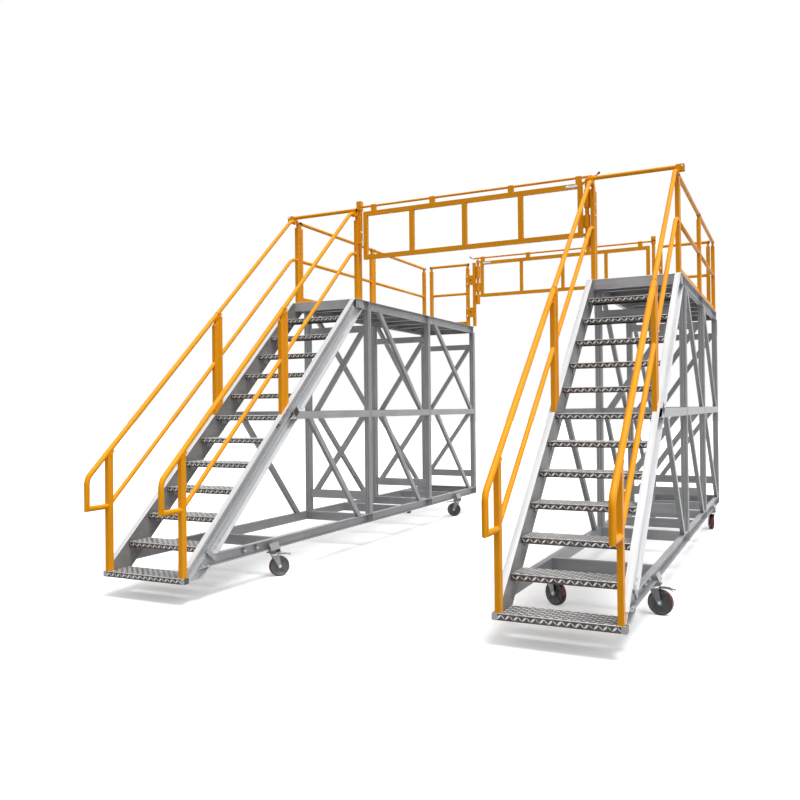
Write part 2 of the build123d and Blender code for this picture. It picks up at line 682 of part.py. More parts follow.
def toe_boards(tower):
    """Toe boards between the posts."""
    x = side_x(FAR, POST_DEPTH)
    half, small = POST_Y / 2, REAR_POST / 2
    zs = (DECK_Z, DECK_Z + TOE_H)
    stops = [CORNER_Y + half, SIDE_POST_Y - half, SIDE_POST_Y + half, DECK_L - REAR_POST]
    boards = [block((x - TOE_T / 2, x + TOE_T / 2), pair, zs) for pair in (stops[:2], stops[2:])]
    ends = [side_x(BUS, depth) for depth in REAR_PANEL_DEPTHS[tower]]
    boards.append(block((ends[0] + small, ends[1] - small),
                        (REAR_LINE - TOE_T / 2, REAR_LINE + TOE_T / 2), zs))
    return boards


def gate_zs():
    """Lower and upper edges of a gate frame."""
    return DECK_Z + GATE_Z, DECK_Z + GATE_Z + GATE_H


def sleeve(axis, y, zs, toward):
    """A sleeve round a hinge pole's axis with a lug that reaches along X."""
    body = rod((axis, y, zs[0]), (axis, y, zs[1]), SLEEVE_R)
    return body + block((axis, toward), (y - SLEEVE_LUG / 2, y + SLEEVE_LUG / 2), zs)


def hinge_pole(axis, y, face):
    """A fixed hinge pole with two sleeves, each with a lug on the face that carries it."""
    low = DECK_Z + POLE_Z
    pole = rod((axis, y, low), (axis, y, low + POLE_H), POLE_R)
    high = DECK_Z + HIGH_SLEEVE_Z
    pole = pole + sleeve(axis, y, (low + 10, low + 10 + LOW_SLEEVE_H), face)
    return (pole + sleeve(axis, y, (high, high + HIGH_SLEEVE_H), face)).solid()


def holders(xs):
    """Two plates on the front of the rear panel that hold a gate post off it."""
    front = REAR_LINE - REAR_POST / 2
    plates = [block(xs, (front - HOLDER_T, front), (DECK_Z + z, DECK_Z + z + HOLDER_H))
              for z in HOLDER_ZS]
    return plates[0] + plates[1]


def hinge_face():
    """X of the rear hinge post's face towards the bay, on a right-hand tower."""
    return side_x(BUS, HINGE_POST_DEPTH) - GATE_POST / 2


def rear_hinge_post(panel_x):
    """Rear hinge post with its holders and its pole, as on a right-hand tower."""
    face = hinge_face()
    half = REAR_POST / 2
    post = block((face, face + GATE_POST), (REAR_LINE - half, REAR_LINE + half),
                 (DECK_Z + GATE_POST_FOOT, DECK_Z + HINGE_POST_H))
    post = post + holders((face, panel_x + half))
    return (post + hinge_pole(face - POLE_REACH, REAR_LINE, face)).solid()


def catch_head(x, y, swing):
    """A catch's head; its slot keeps the latch rod and opens the way the gate swings."""
    half = CATCH_HEAD / 2
    low = DECK_Z + CATCH_HEAD_Z
    head = block((x - half, x + half), (y - half, y + half), (low, low + CATCH_HEAD_H))
    gap = ROD_R + CATCH_CLEAR
    slot = block((x - half - 1, x + half + 1), (y - swing * gap, y + swing * (half + 1)),
                 (LATCH_Z - ROD_R - RUNNING, LATCH_Z + gap))
    return head - slot


def catch_x(end):
    """X of a catch's middle, on a right-hand tower."""
    if end == "front":
        return side_x(BUS, POST_DEPTH) - POST_X / 2 - CATCH_TUBE / 2
    return side_x(BUS, CATCH_POST_DEPTH)


def front_catch():
    """A short tube beside the corner post with the catch's head."""
    x, half = catch_x("front"), CATCH_TUBE / 2
    tube = block((x - half, x + half), (FRONT_GATE_Y - half, FRONT_GATE_Y + half),
                 (DECK_Z + CATCH_TUBE_Z, DECK_Z + CATCH_HEAD_Z))
    rail = rod((side_x(BUS, POST_DEPTH), 0, GUARD_RAIL_Z),
               (side_x(BUS, POST_DEPTH), 2 * CORNER_Y, GUARD_RAIL_Z), RAIL_R + 1)
    return (tube + catch_head(x, FRONT_GATE_Y, 1) - rail).solid()


def rear_catch(panel_x):
    """Rear catch post with its holders and head."""
    x, half = catch_x("rear"), REAR_POST / 2
    post = block((x - GATE_POST / 2, x + GATE_POST / 2), (REAR_LINE - half, REAR_LINE + half),
                 (DECK_Z + GATE_POST_FOOT, DECK_Z + CATCH_HEAD_Z))
    post = post + holders((x - GATE_POST / 2, panel_x + half))
    return (post + catch_head(x, REAR_LINE, -1)).solid()


def gate_ends(end):
    """X of the hinge axis, the frame's hinge edge and its free edge, for a right-hand hinge."""
    if end == "front":
        axis = side_x(BUS, POST_DEPTH) - POST_X / 2 - POLE_REACH
        return axis, axis - FRAME_REACH, -(catch_x("front") - CATCH_TUBE / 2 - FREE_GAP)
    axis = hinge_face() - POLE_REACH
    return axis, axis - FRAME_REACH, -(catch_x("rear") - GATE_POST / 2 - FREE_GAP)


def gate(end, y):
    """A welded gate: mitred frame, upright bars, and lugs and a sleeve round the hinge pole."""
    axis, hinge_x, free_x = gate_ends(end)
    low, high = gate_zs()
    w, half = GATE_TUBE_W, GATE_TUBE_D / 2
    frame = block((free_x, hinge_x), (y - half, y + half), (low, high))
    frame = frame - block((free_x + w, hinge_x - w), (y - half - 1, y + half + 1),
                          (low + w, high - w))
    step = (hinge_x - free_x) / (GATE_BARS + 1)
    for i in range(GATE_BARS):
        x = free_x + step * (i + 1) - GATE_BAR_SHIFT
        frame = frame + block((x - GATE_BAR_W / 2, x + GATE_BAR_W / 2),
                              (y - GATE_BAR_W / 2, y + GATE_BAR_W / 2), (low + w, high - w))
    seat = DECK_Z + POLE_Z + 10 + LOW_SLEEVE_H + RUNNING
    middle = DECK_Z + GATE_SLEEVE_Z
    rings = ((seat, seat + GATE_LUG_H), (middle, middle + GATE_SLEEVE_H),
             (high - GATE_LUG_H / 2, high + GATE_LUG_H / 2))
    for zs in rings:
        frame = frame + sleeve(axis, y, zs, hinge_x - 1)
    pole_hole = rod((axis, y, seat - 1), (axis, y, high + GATE_LUG_H), POLE_R + RUNNING)
    return (frame - pole_hole).solid()


def latch_rod(end, y):
    """The latch rod in its straps along the gate's top edge, with its lever."""
    axis, hinge_x, free_x = gate_ends(end)
    top = gate_zs()[1]
    other = -catch_x(end)
    turn = axis + ROD_TAIL
    latch = rod((other - CATCH_TUBE / 4, y, LATCH_Z), (turn, y, LATCH_Z), ROD_R)
    lever = rod((turn - LEVER_R, y, LATCH_Z), (turn + LEVER_REACH, y, LATCH_Z + LEVER_RISE), LEVER_R)
    latch = latch + lever
    for share in STAND_OFF_SHARES:
        x = free_x + (hinge_x - free_x) * share
        low = min(x + STAND_OFF_W / 2, hinge_x)
        latch = latch + block((low - STAND_OFF_W, low), (y - ROD_R - 3, y + ROD_R + 3),
                              (top, LATCH_Z + ROD_R + 3))
    return latch.solid()


def bar_brackets():
    """Clamps on the stair rails' level ends: ears for the pivot, and a cradle for the free end."""
    z = DECK_Z + BAR_Z
    outer = BAR_R + BAR_GAP + BAR_EAR
    clamp_top = z - BAR_R - BAR_GAP
    lines = guard_lines()
    x = side_x(FAR, POST_DEPTH)
    pivot = FAR_FACE + BAR_PIVOT
    pivot_clamp = block((x - CLAMP_R, x + CLAMP_R), (BAR_Y - outer, BAR_Y + outer),
                        (GUARD_RAIL_Z - CLAMP_R, clamp_top))
    for sign in (-1, 1):
        near = BAR_Y + sign * (BAR_R + BAR_GAP)
        ear = block((x, pivot + BAR_R), (near, near + sign * BAR_EAR),
                    (GUARD_RAIL_Z, z + BAR_R))
        pivot_clamp = pivot_clamp + ear
    pivot_clamp = pivot_clamp - rod((pivot, 0, z), (pivot, 2 * BAR_Y, z), PIN_R + RUNNING)
    x = side_x(BUS, POST_DEPTH)
    cradle = block((x - CLAMP_R, x + CLAMP_R), (BAR_Y - outer, BAR_Y + outer),
                   (GUARD_RAIL_Z - CLAMP_R, z))
    slot = block((x - CLAMP_R - 1, x + CLAMP_R + 1), (BAR_Y - outer + BAR_EAR,
                 BAR_Y + outer - BAR_EAR), (z - BAR_R - RUNNING, z + 1))
    return [(pivot_clamp - lines[1]).solid(), (cradle - slot - lines[0]).solid()]


def head_bar():
    """The bar across the stair head, with its pivot pin outside the far side."""
    z = DECK_Z + BAR_Z
    pivot = FAR_FACE + BAR_PIVOT
    reach = BAR_R + BAR_GAP + BAR_EAR + 3
    bar = rod((side_x(BUS, BAR_END_DEPTH), BAR_Y, z), (pivot + BAR_R, BAR_Y, z), BAR_R)
    return bar + rod((pivot, BAR_Y - reach, z), (pivot, BAR_Y + reach, z), PIN_R)


def caster_x(side):
    """Swivel axis of the casters under a base rail."""
    return side_x(side, CASTER_DEPTH)


def caster_mounts():
    """Packers under the base rails with the casters' top plates, and their upstand plates."""
    mounts = []
    half = CASTER_PLATE / 2
    for side in (BUS, FAR):
        x = caster_x(side)
        for y in CASTER_YS.values():
            packer = box_tube((x - half + 10, x + half - 10), (y - half + 10, y + half - 10),
                              (CASTER_H, RAIL_Z), TUBE_T, 0)
            plate = block((x - half, x + half), (y - half, y + half),
                          (CASTER_H - CASTER_PLATE_T, CASTER_H))
            mounts.append((packer + plate).solid())
    return mounts


def caster_fork():
    """A swivel fork at the origin, trailing along +X, with its crown, legs, axle and pedal."""
    gap = WHEEL_W / 2 + FORK_GAP
    outer = gap + FORK_T
    crown_top = CASTER_H - CASTER_PLATE_T - SWIVEL_GAP
    crown_low = 2 * WHEEL_R + 6
    fork = rod((0, 0, crown_low), (0, 0, crown_top), 32)
    fork = fork + block((-32, 42), (-outer, outer), (crown_low, crown_low + FORK_T))
    for sign in (1, -1):
        leg = [(-32, crown_low + FORK_T), (42, crown_low + FORK_T), (TRAIL + 16, WHEEL_R - 6),
               (TRAIL + 8, WHEEL_R - 16), (TRAIL - 8, WHEEL_R - 16), (TRAIL - 20, WHEEL_R)]
        points = [(x, sign * gap, z) for x, z in leg]
        fork = fork + prism(points, (0, sign * FORK_T, 0))
    fork = fork + rod((TRAIL, -outer - 5, WHEEL_R), (TRAIL, outer + 5, WHEEL_R), AXLE_R)
    pedal = block((30, TRAIL + WHEEL_R + 20), (-18, 18), (crown_low + FORK_T, crown_low + 10))
    return (fork + pedal).solid()


def caster_wheel():
    """A wheel at the origin's trail, with a tread, a rim, four spokes and a bored hub."""
    half = WHEEL_W / 2
    axis = Plane(origin=(TRAIL, -half, WHEEL_R), z_dir=(0, 1, 0))
    tyre = Solid.make_cylinder(WHEEL_R, WHEEL_W, axis)
    recess = 12
    for sign in (-1, 1):
        face = Plane(origin=(TRAIL, sign * half, WHEEL_R), z_dir=(0, -sign, 0))
        pan = Solid.make_cylinder(WHEEL_R - 14, recess, face)
        pan = pan - Solid.make_cylinder(24, recess, face)
        for turn in range(4):
            spoke = Box(2 * WHEEL_R, 8, recess * 2)
            pan = pan - face * Rot(0, 0, 45 * turn) * spoke if turn % 2 else pan
        tyre = tyre - pan
    bore = Solid.make_cylinder(AXLE_R + RUNNING, WHEEL_W + 2, axis.offset(-1))
    return (tyre - bore).solid()


# Rest directions of the casters' trail, in degrees from +X, on the right-hand tower.
CASTER_TURNS = {
    ("right", BUS, "front"): -28.0, ("right", FAR, "front"): -12.0,
    ("right", BUS, "rear"): 60.0, ("right", FAR, "rear"): 105.0,
    ("left", BUS, "front"): 50.0, ("left", FAR, "front"): 180.0,
    ("left", BUS, "rear"): 190.0, ("left", FAR, "rear"): 100.0,
}


def mirrored(solids):
    """The same solids on the left-hand tower."""
    return [solid.mirror(Plane.YZ) for solid in solids]


def casters(tower):
    """Forks and wheels of one tower, each its own piece."""
    pieces = {}
    sign = 1 if tower == "right" else -1
    for (name, side, end), turn in CASTER_TURNS.items():
        if name != tower:
            continue
        where = Pos(sign * caster_x(side), CASTER_YS[end], 0) * Rot(0, 0, turn)
        label = f"{tower}_{'inner' if side == BUS else 'outer'}_{end}_caster"
        pieces[label + "_fork"] = [where * caster_fork()]
        pieces[label + "_wheel"] = [where * caster_wheel()]
    return pieces


def shared_parts():
    """Everything that is the same on both towers, on the right-hand tower."""
    return {
        "base_rails": base_rails(),
        "base_crossmembers": base_crossmembers(),
        "caster_mounts": caster_mounts(),
        "columns": columns(),
        "mid_rails": mid_rails(),
        "cross_rails": cross_rails(),
        "deck_frame": deck_frame(),
        "stringers": stringers(),
        "treads": treads(),
        "stair_posts": stair_posts(),
        "stair_top_rails": stair_top_rails(),
        "stair_mid_rails": stair_mid_rails(),
        "bar_brackets": bar_brackets(),
        "head_bar": [head_bar()],
    }


def own_parts(tower):
    """What differs between the towers, drawn as on the right-hand one."""
    panel_x = side_x(BUS, REAR_PANEL_DEPTHS[tower][0])
    if tower == "right":
        face = side_x(BUS, POST_DEPTH) - POST_X / 2
        gate_posts = [hinge_pole(face - POLE_REACH, FRONT_GATE_Y, face), rear_catch(panel_x)]
    else:
        gate_posts = [front_catch(), rear_hinge_post(panel_x)]
    return {
        "braces": side_braces() + cross_braces(FAR if tower == "right" else BUS),
        "deck_plate": deck_plate(tower),
        "guard_posts": guard_posts(tower),
        "guard_rails": guard_rails(tower),
        "toe_boards": toe_boards(tower),
        "gate_posts": gate_posts,
    }


def assemble():
    """All pieces by name, with y = 0 at the decks' front edge."""
    pieces = {}
    for name, solids in shared_parts().items():
        pieces["right_" + name] = solids
        pieces["left_" + name] = mirrored(solids)
    for name, solids in own_parts("right").items():
        pieces["right_" + name] = solids
    for name, solids in own_parts("left").items():
        pieces["left_" + name] = mirrored(solids)
    pieces["front_gate"] = [gate("front", FRONT_GATE_Y)]
    pieces["front_latch_rod"] = [latch_rod("front", FRONT_GATE_Y)]
    pieces["rear_gate"] = mirrored([gate("rear", REAR_LINE)])
    pieces["rear_latch_rod"] = mirrored([latch_rod("rear", REAR_LINE)])
    for tower in ("right", "left"):
        pieces.update(casters(tower))
    return pieces


def main():
    """Write one file for each piece, centred on the floor."""
    os.makedirs("parts", exist_ok=True)
    front = foot_post_y() - LOOP_REACH - LOOP_R
    middle = (front + DECK_L) / 2
    for name, solids in assemble().items():
        moved = [Pos(0, -middle, 0) * solid for solid in solids]
        shape = moved[0] if len(moved) == 1 else Compound(children=moved)
        export_step(shape, f"parts/{name}.step")


main()
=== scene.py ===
"""Looks of the bus access platform: two wheeled stair towers joined by swing gates.

Frame in metres: X across the bay, Y from the stair feet to the rear, Z up.
New pieces are surfaces computed as arrays: a profile turned about an axis, an outline carried
along a path, or a low dome repeated over a plate.
"""
import math

import bmesh
import bpy
import numpy as np
from mathutils import Matrix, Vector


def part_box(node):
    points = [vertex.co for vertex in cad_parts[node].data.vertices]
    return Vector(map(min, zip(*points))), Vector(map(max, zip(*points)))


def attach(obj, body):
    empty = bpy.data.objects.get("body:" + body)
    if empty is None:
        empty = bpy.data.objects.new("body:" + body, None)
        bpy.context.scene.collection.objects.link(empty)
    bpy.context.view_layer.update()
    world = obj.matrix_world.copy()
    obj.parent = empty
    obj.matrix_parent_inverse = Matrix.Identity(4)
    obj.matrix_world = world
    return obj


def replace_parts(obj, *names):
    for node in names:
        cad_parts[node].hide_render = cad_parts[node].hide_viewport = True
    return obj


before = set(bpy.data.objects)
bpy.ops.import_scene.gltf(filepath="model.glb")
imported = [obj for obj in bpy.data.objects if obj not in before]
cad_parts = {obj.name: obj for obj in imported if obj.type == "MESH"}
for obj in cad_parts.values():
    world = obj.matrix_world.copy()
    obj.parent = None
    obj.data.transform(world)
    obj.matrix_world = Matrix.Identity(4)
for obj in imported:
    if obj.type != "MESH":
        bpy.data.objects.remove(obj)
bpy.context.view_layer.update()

# Sizes read from the frame
BUS_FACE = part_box("right_base_rails")[0].x
FAR_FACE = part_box("right_base_rails")[1].x
RAIL_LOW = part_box("right_base_rails")[0].z
RAIL_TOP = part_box("right_base_rails")[1].z
DECK_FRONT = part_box("right_deck_frame")[0].y
DECK_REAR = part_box("right_deck_frame")[1].y
DECK_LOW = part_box("right_deck_frame")[0].z
DECK_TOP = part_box("right_deck_plate")[1].z
FOOT_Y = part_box("right_treads")[0].y
LAST_TREAD_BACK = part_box("right_treads")[1].y
RISE = DECK_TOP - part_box("right_treads")[1].z

# Stair, deck and frame
STEPS = 12
TREAD_DEPTH = 0.250
TREAD_LIP = 0.049
NOSE_BAR = 0.060
STRINGER_W = 0.056
STRINGER_PROUD = 0.020
GOING = (LAST_TREAD_BACK - TREAD_DEPTH - FOOT_Y) / (STEPS - 1)
BOTTOM_TREAD = DECK_TOP - STEPS * RISE
SLOPE = math.atan2(RISE, GOING)
PITCH = RISE / GOING
ALONG = np.array([0, math.cos(SLOPE), math.sin(SLOPE)])
SQUARE = np.array([0, -math.sin(SLOPE), math.cos(SLOPE)])
UP = np.array([0, 0, 1.0])
CHANNEL_W = 0.050
COLUMN_W = 0.075
COLUMN_D = 0.065
SIDE_POST_SHARE = 0.528

# Posts and rails. Heights ending in UP are above the deck, or for STAIR above the line of the
# treads' noses, or for LOOP above the bottom tread.
POST_IN = 0.040  # centre line behind a tower's face
POST_X, POST_Y = 0.040, 0.122
TUCK = 0.004  # how far a middle rail runs into a post
FOOT_POST_Y = FOOT_Y + NOSE_BAR / 2
STAIR_POST_Y = DECK_FRONT - 1.450
CORNER_Y = DECK_FRONT + 0.070 + POST_Y / 2
SIDE_POST_Y = DECK_FRONT + (DECK_REAR - DECK_FRONT) * SIDE_POST_SHARE + 0.005
REAR_LINE = DECK_REAR - 0.040
REAR_POST = 0.048
GUARD_RAIL = DECK_TOP + 1.000
RAIL_R = 0.021
LOOP_R = 0.024
MID_SHOWN = 0.0205  # radius of the middle rails
MID_UP = 0.535
STAIR_RAIL_UP = 1.031
STAIR_MID_UP = 0.555
LOOP_REACH = 0.250  # foot loop in front of its post
LOOP_LOW_UP = 0.570
LOOP_BEND, TOP_BEND, MID_BEND = 0.120, 0.190, 0.200
BEND_STEPS = 14
# Heights above the deck, and the rear panel's posts as depths behind the bus-side face
UPPER_HOLES = (0.671, 0.789)
LOWER_HOLES = (0.163, 0.286)
HOLDER_BOLTS = (0.802, 0.683, 0.294, 0.172)
HOLDER_HOLES = (0.745, 0.238)
PANEL_DEPTHS = {"right": (0.170, 0.810), "left": (0.095, 0.728)}

# Fittings, as (Y, Z), or where said as (distance behind the stringer's front edge, Y)
SPLICE_AT = (0.046, -1.800)  # behind, Y
SPLICE_BOLTS = (-0.060, 0.045)  # along the slope from the splice
CUT_OUT_BACK = 0.140  # down the slope from the splice
BRACE_HOLE_AT = (-1.606, 1.618)
BRACE_BOLTS = ((-1.520, 1.655), (-1.691, 1.552), (-1.637, 1.553))
# Behind, Y
STRINGER_FOOT_BOLTS = ((0.150, -2.980), (0.185, -2.900), (0.150, -3.080), (0.185, -3.100))
# Behind, depth behind the tower's face, and Y at the start and the end
SEAMS = ((0.0085, 0.050, -3.18, -0.46), (0.0840, 0.050, -3.10, -0.48),
         (0.0880, 0.030, -3.10, -0.50), (0.1220, 0.030, -3.06, -0.56),
         (0.1260, 0.050, -3.06, -0.58), (0.2015, 0.050, -2.98, -0.66))
FOOT_CLIP_AT = (-2.950, 0.380)
FOOT_CLIP_TILT = math.radians(50)
FOOT_CLIP_BOLTS = ((-2.907, 0.464), (-2.862, 0.446), (-3.060, 0.300), (-2.990, 0.290))
BOSS_YS = (-2.451, -2.258)
GUARD_TILT = math.radians(22)

# Gates
GATE_LOW, GATE_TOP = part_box("front_gate")[0].z, DECK_TOP + 1.027
GATE_TUBE = 0.050
POLE_R = 0.021
SLEEVE_OUT = 0.045  # from the hinge pole to the gate's end
# Hinge poles as (X, Y)
FRONT_AXIS = (BUS_FACE - 0.022, DECK_FRONT + 0.107)
REAR_AXIS = (-(BUS_FACE - 0.080), REAR_LINE)
WASHERS_UP = (0.4740, 1.0135)
BAR_SHARES = (0.25, 0.50, 0.75)  # from the free end to the hinge
LATCH_Z = GATE_TOP + 0.061
ROD_R = 0.013
LEVER_R = 0.0088
STRAP_W = 0.062
STRAP_SHARES = (0.051, 0.341, 0.70, 0.985)

# Head bars
BAR_Z = DECK_TOP + 1.045
BAR_Y = DECK_FRONT + 0.040
BAR_R = 0.021

# Casters
WHEEL_R = 0.100
WHEEL_W = 0.050
TRAIL = 0.050  # axle behind the swivel
CASTER_DEPTH = 0.040
CASTER_FRONT_Y = DECK_FRONT - 1.636
CASTER_REAR_Y = DECK_REAR - 0.724
CASTER_TURNS = {  # degrees from +X to where the wheel trails at rest
    "right_inner_front": -28, "right_outer_front": -12,
    "right_inner_rear": 60, "right_outer_rear": 105,
    "left_inner_front": 50, "left_outer_front": 180,
    "left_inner_rear": 190, "left_outer_rear": 100,
}

# Tread plate's lenses: the s and t at which one is worked out, and length, width and height
LENS_S = np.array([-1.0, -0.55, 0.0, 0.55, 1.0])
LENS_T = np.array([-1.0, 0.0, 1.0])
LENS_SPACING = 0.030
TOP_LENS = (0.046, 0.026, 0.0030)
LIP_LENS = (0.048, 0.0185, 0.0026)

# Camera, fitted to the photograph
CAMERA_AT = (3.2538, -8.5831, 1.6424)
CAMERA_YAW = 0.45605
CAMERA_PITCH = 0.01046
CAMERA_ROLL = -0.01029
LENS_MM = 36.377
SENSOR_MM = 36.0

# Light and stage
ROOM_LIGHT = (0.26, 0.52)  # low down and high up
FLOOR_BOUNCE = (0.22, 0.22, 0.225)
FLOOR_GLOW = 0.30
FLOOR_HALF = 80
WHITE = (1, 1, 1, 1)

# Most noise values lie between these two
NOISE_LOW, NOISE_HIGH = 0.3, 0.7

SIDES = {"left": -1, "right": 1}
FACES = ("bus", "far")


# Surfaces

def quads(rows, cols, wrap_rows, wrap_cols):
    """Corner numbers of the faces between neighbouring points of a grid of rows and columns."""
    last_row = rows if wrap_rows else rows - 1
    last_col = cols if wrap_cols else cols - 1
    i, j = np.meshgrid(np.arange(last_row), np.arange(last_col), indexing="ij")
    i, j = i.ravel(), j.ravel()
    up, across = (i + 1) % rows, (j + 1) % cols
    return np.stack([i * cols + j, up * cols + j, up * cols + across, i * cols + across], 1)


def axes_for(direction):
    """Three unit vectors: two across a direction, then the direction itself."""
    w = np.asarray(direction, float)
    w = w / np.linalg.norm(w)
    helper = np.array([0, 0, 1.0]) if abs(w[2]) < 0.9 else np.array([1.0, 0, 0])
    u = np.cross(helper, w)
    u = u / np.linalg.norm(u)
    return u, np.cross(w, u), w


def turned(profile, at, direction, sides=24, start=0.0):
    """A profile of (radius, distance along) turned about an axis:
    point = at + radius * (cos a * u + sin a * v) + distance * w, for a from 0 to 360 degrees."""
    u, v, w = axes_for(direction)
    radius, along = np.asarray(profile, float).T
    angle = start + np.linspace(0, 2 * math.pi, sides, endpoint=False)
    ring = np.cos(angle)[:, None] * u + np.sin(angle)[:, None] * v
    points = (np.asarray(at, float) + radius[:, None, None] * ring[None] +
              along[:, None, None] * w)
    return points.reshape(-1, 3), quads(len(profile), sides, False, True)


def carried(outline, stations, u, v):
    """An outline of (across, up) carried through stations of (place, scale):
    point = place + scale * (across * u + up * v). Scale 0 closes an end."""
    flat = np.asarray(outline, float)
    shape = flat[:, :1] * np.asarray(u, float) + flat[:, 1:] * np.asarray(v, float)
    places = np.array([place for place, _ in stations], float)
    scales = np.array([scale for _, scale in stations], float)
    points = places[:, None, :] + scales[:, None, None] * shape[None]
    return points.reshape(-1, 3), quads(len(stations), len(flat), False, True)


def rounded(width, height, radius, steps=3):
    """Outline of a rectangle with round corners: quarter circles about four centres."""
    angle = np.linspace(0, math.pi / 2, steps + 1)
    corners = []
    for turn, (sx, sy) in enumerate(((1, 1), (-1, 1), (-1, -1), (1, -1))):
        a = angle + turn * math.pi / 2
        centre = np.array([sx * (width / 2 - radius), sy * (height / 2 - radius)])
        corners.append(centre + radius * np.stack([np.cos(a), np.sin(a)], 1))
    return np.concatenate(corners)


def slab(outline, middle, normal, across, thickness, bevel=0.0008):
    """A plate: its outline carried through its thickness, shrunk a little at both faces. The
    middle given is the middle of the thickness."""
    w = np.asarray(normal, float)
    u = np.asarray(across, float)
    v = np.cross(w, u)
    middle = np.asarray(middle, float)
    reach = np.abs(np.asarray(outline)).max()
    inner = 1 - bevel / reach
    half = thickness / 2
    stations = [(middle - w * half, 0), (middle - w * half, inner),
                (middle - w * (half - bevel), 1), (middle + w * (half - bevel), 1),
                (middle + w * half, inner), (middle + w * half, 0)]
    return carried(outline, stations, u, v)


def tube(start, end, radius, sides=20, chamfer=0.001):
    """A round bar between two points, closed at both ends."""
    start, end = np.asarray(start, float), np.asarray(end, float)
    length = np.linalg.norm(end - start)
    profile = [(0, 0), (radius - chamfer, 0), (radius, chamfer), (radius, length - chamfer),
               (radius - chamfer, length), (0, length)]
    return turned(profile, start, end - start, sides)


def filleted(corners, bends, steps=10):
    """A line through corners, each rounded by an arc: the centre lies on the corner's bisector at
    bend / sin(half the angle), and the arc turns from one run's touching point to the other's."""
    corners = np.asarray(corners, float)
    path = [corners[:1]]
    for before, at, after, bend in zip(corners, corners[1:], corners[2:], bends):
        a = (before - at) / np.linalg.norm(before - at)
        b = (after - at) / np.linalg.norm(after - at)
        half = math.acos(np.clip(a @ b, -1, 1)) / 2
        middle = (a + b) / np.linalg.norm(a + b)
        centre = at + middle * bend / math.sin(half)
        p = at + a * bend / math.tan(half) - centre
        q = at + b * bend / math.tan(half) - centre
        turn = math.pi - 2 * half
        share = np.linspace(0, 1, steps + 1)[:, None]
        arc = (np.sin((1 - share) * turn) * p + np.sin(share * turn) * q) / math.sin(turn)
        path.append(centre + arc if bend else at[None])
    path.append(corners[-1:])
    return np.concatenate(path)


def swept(path, radius, across=(1, 0, 0), sides=22):
    """A round section along a path in one plane. Each ring stands in the plane that halves the
    turn: point = place + r - t * (r . n) / (t . n), with r the radius, t the run, n the normal."""
    path = np.asarray(path, float)
    runs = np.diff(path, axis=0)
    runs /= np.linalg.norm(runs, axis=1)[:, None]
    t = np.concatenate([runs[:1], runs])
    n = t + np.concatenate([runs, runs[-1:]])
    n /= np.linalg.norm(n, axis=1)[:, None]
    u = np.asarray(across, float)
    v = np.cross(t, u)
    angle = np.linspace(0, 2 * math.pi, sides, endpoint=False)
    r = radius * (np.cos(angle)[None, :, None] * u + np.sin(angle)[None, :, None] * v[:, None])
    slide = np.einsum("isk,ik->is", r, n) / np.einsum("ik,ik->i", t, n)[:, None]
    points = path[:, None] + r - t[:, None] * slide[..., None]
    close = [np.broadcast_to(path[end], points[:1].shape) for end in (0, -1)]
    points = np.concatenate([close[0], points, close[1]])
    return points.reshape(-1, 3), quads(len(path) + 2, sides, False, True)


def bolt(at, direction, size):
    """A hex head on its washer: six-sided and round profiles turned about the bolt's axis."""
    at = np.asarray(at, float)
    w = axes_for(direction)[2]
    disc = [(0, 0), (size * 1.05, 0), (size * 1.12, size * 0.06), (size * 1.05, size * 0.2),
            (0, size * 0.2)]
    head = [(0, 0), (size * 0.88, 0), (size * 0.92, size * 0.08), (size * 0.92, size * 0.52),
            (size * 0.78, size * 0.64), (0, size * 0.64)]
    return [turned(disc, at, w, 18), turned(head, at + w * (size * 0.2), w, 6, 0.4)]


def lens_field(xs, ys, z, size=TOP_LENS, slim=0.50, turned_back_light=0.25):
    """Raised lenses over a flat rectangle. One lens is height * (1 - s^2) * (1 - t^2) over
    s, t in -1..1, and its half width shrinks as 1 - 0.92 s^2. Neighbours turn 45 degrees each way,
    and those turned back are slimmer and get less painted light. Also gives each point's share of
    painted light: a painted highlight that grows with the lens's height, and painted shade at its
    foot."""
    length, width, height = size
    across = max(1, round((xs[1] - xs[0]) / LENS_SPACING))
    along = max(1, round((ys[1] - ys[0]) / LENS_SPACING))
    x = xs[0] + (np.arange(across) + 0.5) * (xs[1] - xs[0]) / across
    y = ys[0] + (np.arange(along) + 0.5) * (ys[1] - ys[0]) / along
    gx, gy = np.meshgrid(x, y, indexing="ij")
    odd = ((np.arange(across)[:, None] + np.arange(along)[None]) % 2).astype(float)
    turn = ((odd * 2 - 1) * math.pi / 4).reshape(-1, 1, 1)
    share = (slim + (1 - slim) * odd).reshape(-1, 1, 1)
    ss, tt = np.meshgrid(LENS_S, LENS_T, indexing="ij")
    a = ss * length / 2
    b = share * tt * width / 2 * (1 - ss ** 2 * 0.92)
    rise = np.broadcast_to((1 - ss ** 2) * (1 - tt ** 2), (across * along, *ss.shape))
    px = gx.reshape(-1, 1, 1) + np.cos(turn) * a - np.sin(turn) * b
    py = gy.reshape(-1, 1, 1) + np.sin(turn) * a + np.cos(turn) * b
    points = np.stack([px, py, z + height * rise], -1).reshape(-1, 3)
    faces = quads(len(LENS_S), len(LENS_T), False, False)
    shift = np.arange(across * along)[:, None, None] * ss.size
    # Painted light: highest on a lens's top and lowest at its foot. The lenses turned back get only
    # a share of it, as if lit from one side.
    painted_light = rise * (turned_back_light + (1 - turned_back_light) * odd.reshape(-1, 1, 1))
    return points, (faces[None] + shift).reshape(-1, 4), painted_light.ravel()


def added(name, data):
    """A new object in the scene for a mesh, a lamp or a camera."""
    made = bpy.data.objects.new(name, data)
    bpy.context.scene.collection.objects.link(made)
    return made


